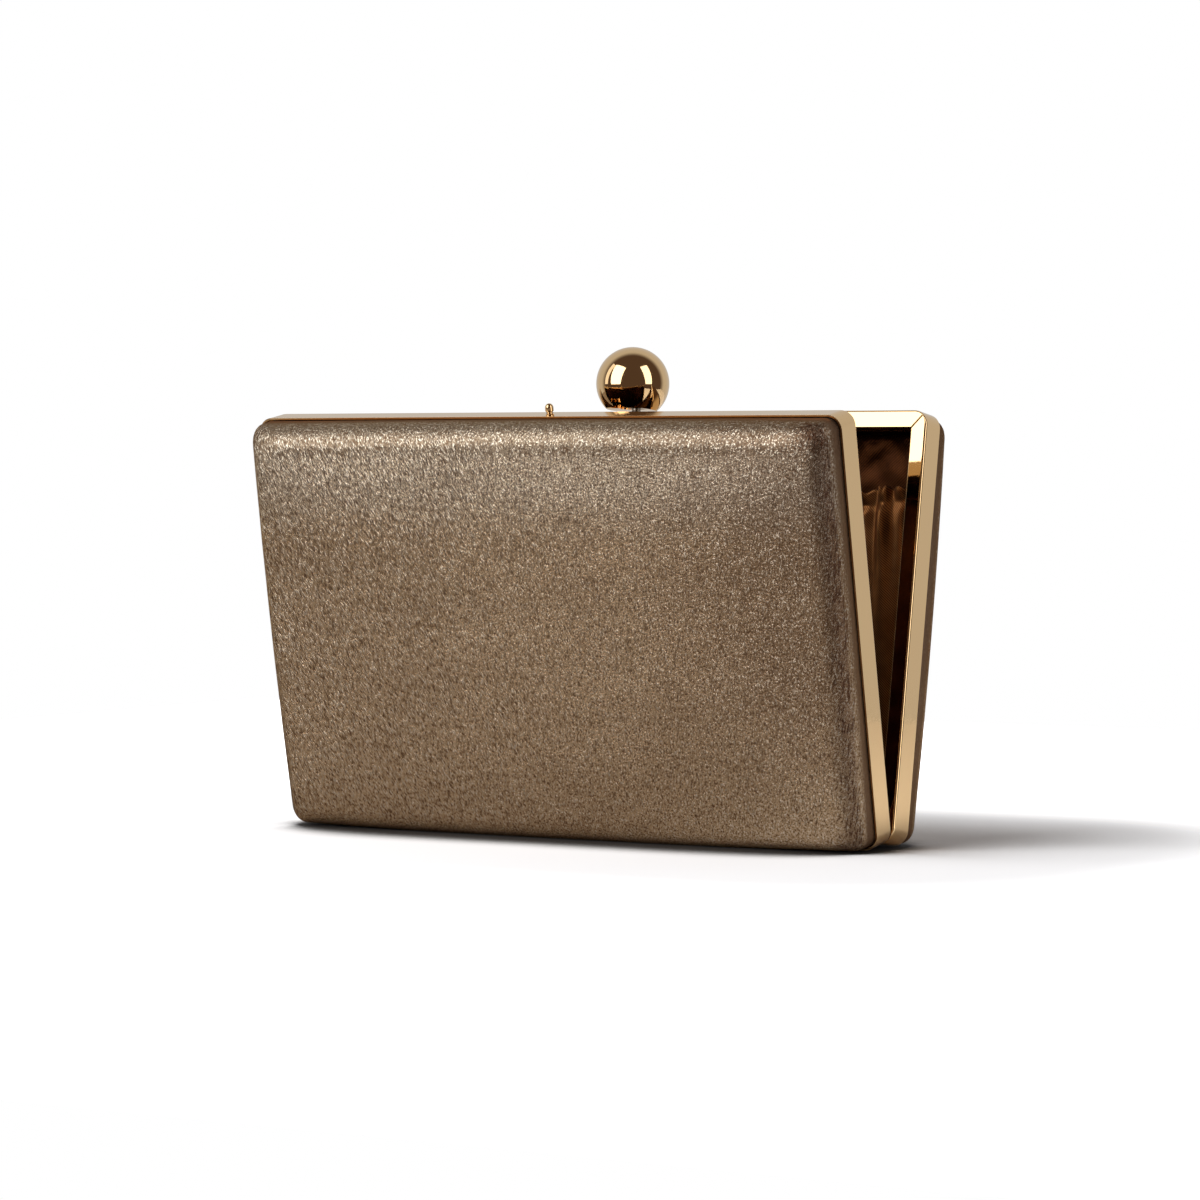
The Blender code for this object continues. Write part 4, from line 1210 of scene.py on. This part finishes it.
def studio_card():
    """Matt white card that the camera sees as pure white where it is fully lit."""
    material, tree, shader = new_material("white_card", Roughness=0.9)
    place = node(tree, "ShaderNodeTexCoord").outputs["Object"]
    path = node(tree, "ShaderNodeLightPath")
    forward = measure(tree, place, TO_FRONT_LEFT)
    # For all rays but the camera's, the card's front is painted grey, a painted shade.
    fall = blend(tree, rise(tree, forward, *GREY_FRONT), "#f0f0f0", "#776d64")
    # The clutch hides the lights from the strip of shelf right under it, which a painted shadow turns nearly black.
    open_above = node(tree, "ShaderNodeAmbientOcclusion", {"Distance": CONTACT_REACH}, samples=16).outputs["AO"]
    seen = blend(tree, rise(tree, open_above, *OPEN_SKY), "#1c1a19", "#ebecee")
    tone = blend(tree, path.outputs["Is Camera Ray"], fall, seen)
    tree.links.new(tone, shader.inputs["Base Color"])
    shader.inputs["Emission Color"].default_value = (1.0, 1.0, 1.0, 1.0)
    # How far a place is from the clutch's footprint.
    past = node(
        tree, "ShaderNodeVectorMath", {0: own_axes(tree), 1: FOOTPRINT}, operation="SUBTRACT",
    )
    past = node(tree, "ShaderNodeVectorMath", {0: past.outputs[0], 1: (0.0, 0.0, 0.0)}, operation="MAXIMUM")
    away = node(tree, "ShaderNodeVectorMath", {0: past.outputs[0]}, operation="LENGTH").outputs["Value"]
    lifted = rise(tree, away, LIFT_START, LIFT_END, 0.0, CAMERA_LIFT)
    lift = work_out(tree, "MULTIPLY", lifted, path.outputs["Is Camera Ray"])
    tree.links.new(lift, shader.inputs["Emission Strength"])
    return material


def studio_floor():
    """Adds the shelf."""
    half = FLOOR_SIZE / 2
    floor = new_piece(
        "floor",
        [(-half, -half, 0.0), (half, -half, 0.0), (half, half, 0.0), (-half, half, 0.0)],
        [(0, 1, 2, 3)],
        studio_card(),
    )


studio_floor()
print("shelf:", FLOOR_SIZE, "m")

# %% [markdown]
# Two tall soft boxes stand at the front left and at the right, with a narrower one further left. They are the
# bright windows on the ball, and the right one lights nothing but polished metal. A high lamp at the front left,
# which the gold doesn't show, throws the shadow that lies behind the clutch. How bright a window looks in a
# mirror depends on its radiance and not on its watts, so the watts are worked out from that.

# %% Lights
LIGHT_TARGET = Vector((0.0, 0.0, 60.0 * MM))
LIGHT_DISTANCE = 1.5


def soft_box(name, azimuth, elevation, width, height, radiance, mirrored=True, on_matt=True):
    """Adds a soft box, at an angle round from the front (right is positive) and above the shelf.

    mirrored says whether polished pieces show it, and on_matt whether it lights matt ones.
    """
    azimuth, elevation = math.radians(azimuth), math.radians(elevation)
    away = Vector((
        math.sin(azimuth) * math.cos(elevation),
        -math.cos(azimuth) * math.cos(elevation),
        math.sin(elevation),
    ))
    light = bpy.data.lights.new(name, "AREA")
    light.shape = "RECTANGLE"
    light.size = width
    light.size_y = height
    # An area light's watts spread over its face and a half space, so radiance times pi times area gives them.
    light.energy = radiance * math.pi * width * height
    lamp = bpy.data.objects.new(name, light)
    bpy.context.scene.collection.objects.link(lamp)
    lamp.location = LIGHT_TARGET + away * LIGHT_DISTANCE
    lamp.rotation_euler = away.to_track_quat("Z", "Y").to_euler()
    lamp.visible_camera = False
    lamp.visible_glossy = mirrored
    lamp.visible_diffuse = on_matt
    return lamp


soft_box("left_box", azimuth=-24, elevation=27, width=1.0, height=1.5, radiance=3.0)
soft_box("right_box", azimuth=84, elevation=27, width=0.62, height=1.5, radiance=2.4, on_matt=False)
soft_box("far_left_box", azimuth=-60, elevation=25, width=0.35, height=1.3, radiance=1.2)
soft_box("key_box", azimuth=-45, elevation=60, width=0.9, height=0.8, radiance=10.0, mirrored=False)

# %% [markdown]
# A mirror shows the whole room. This one is pale behind the clutch and dark in front, where the photographer
# stands, and that gives the ball its pale rim and its brown dome. The world is a colour for each direction, so
# the room is drawn by how far a direction turns towards the camera. The camera itself sees plain white.

# %% World
PALE_WALL = "#cdcdcd"
DARK_FRONT = "#57483f"
# The cosines, towards the camera, between which the room goes from pale to dark.
WALL_EDGE = (-0.46, -0.08)


def studio_world():
    """A pale room with a dark front, and plain white for the camera."""
    world = bpy.data.worlds.new("studio")
    world.use_nodes = True
    tree = world.node_tree
    background = tree.nodes["Background"]
    heading = node(tree, "ShaderNodeTexCoord").outputs["Generated"]
    towards = measure(tree, heading, tuple(to_camera))
    room = blend(tree, rise(tree, towards, *WALL_EDGE), PALE_WALL, DARK_FRONT)
    path = node(tree, "ShaderNodeLightPath")
    seen = blend(tree, path.outputs["Is Camera Ray"], room, "#ffffff")
    tree.links.new(seen, background.inputs["Color"])
    bpy.context.scene.world = world


studio_world()
bpy.context.scene.view_settings.view_transform = "Standard"
print("world:", bpy.context.scene.world.name)
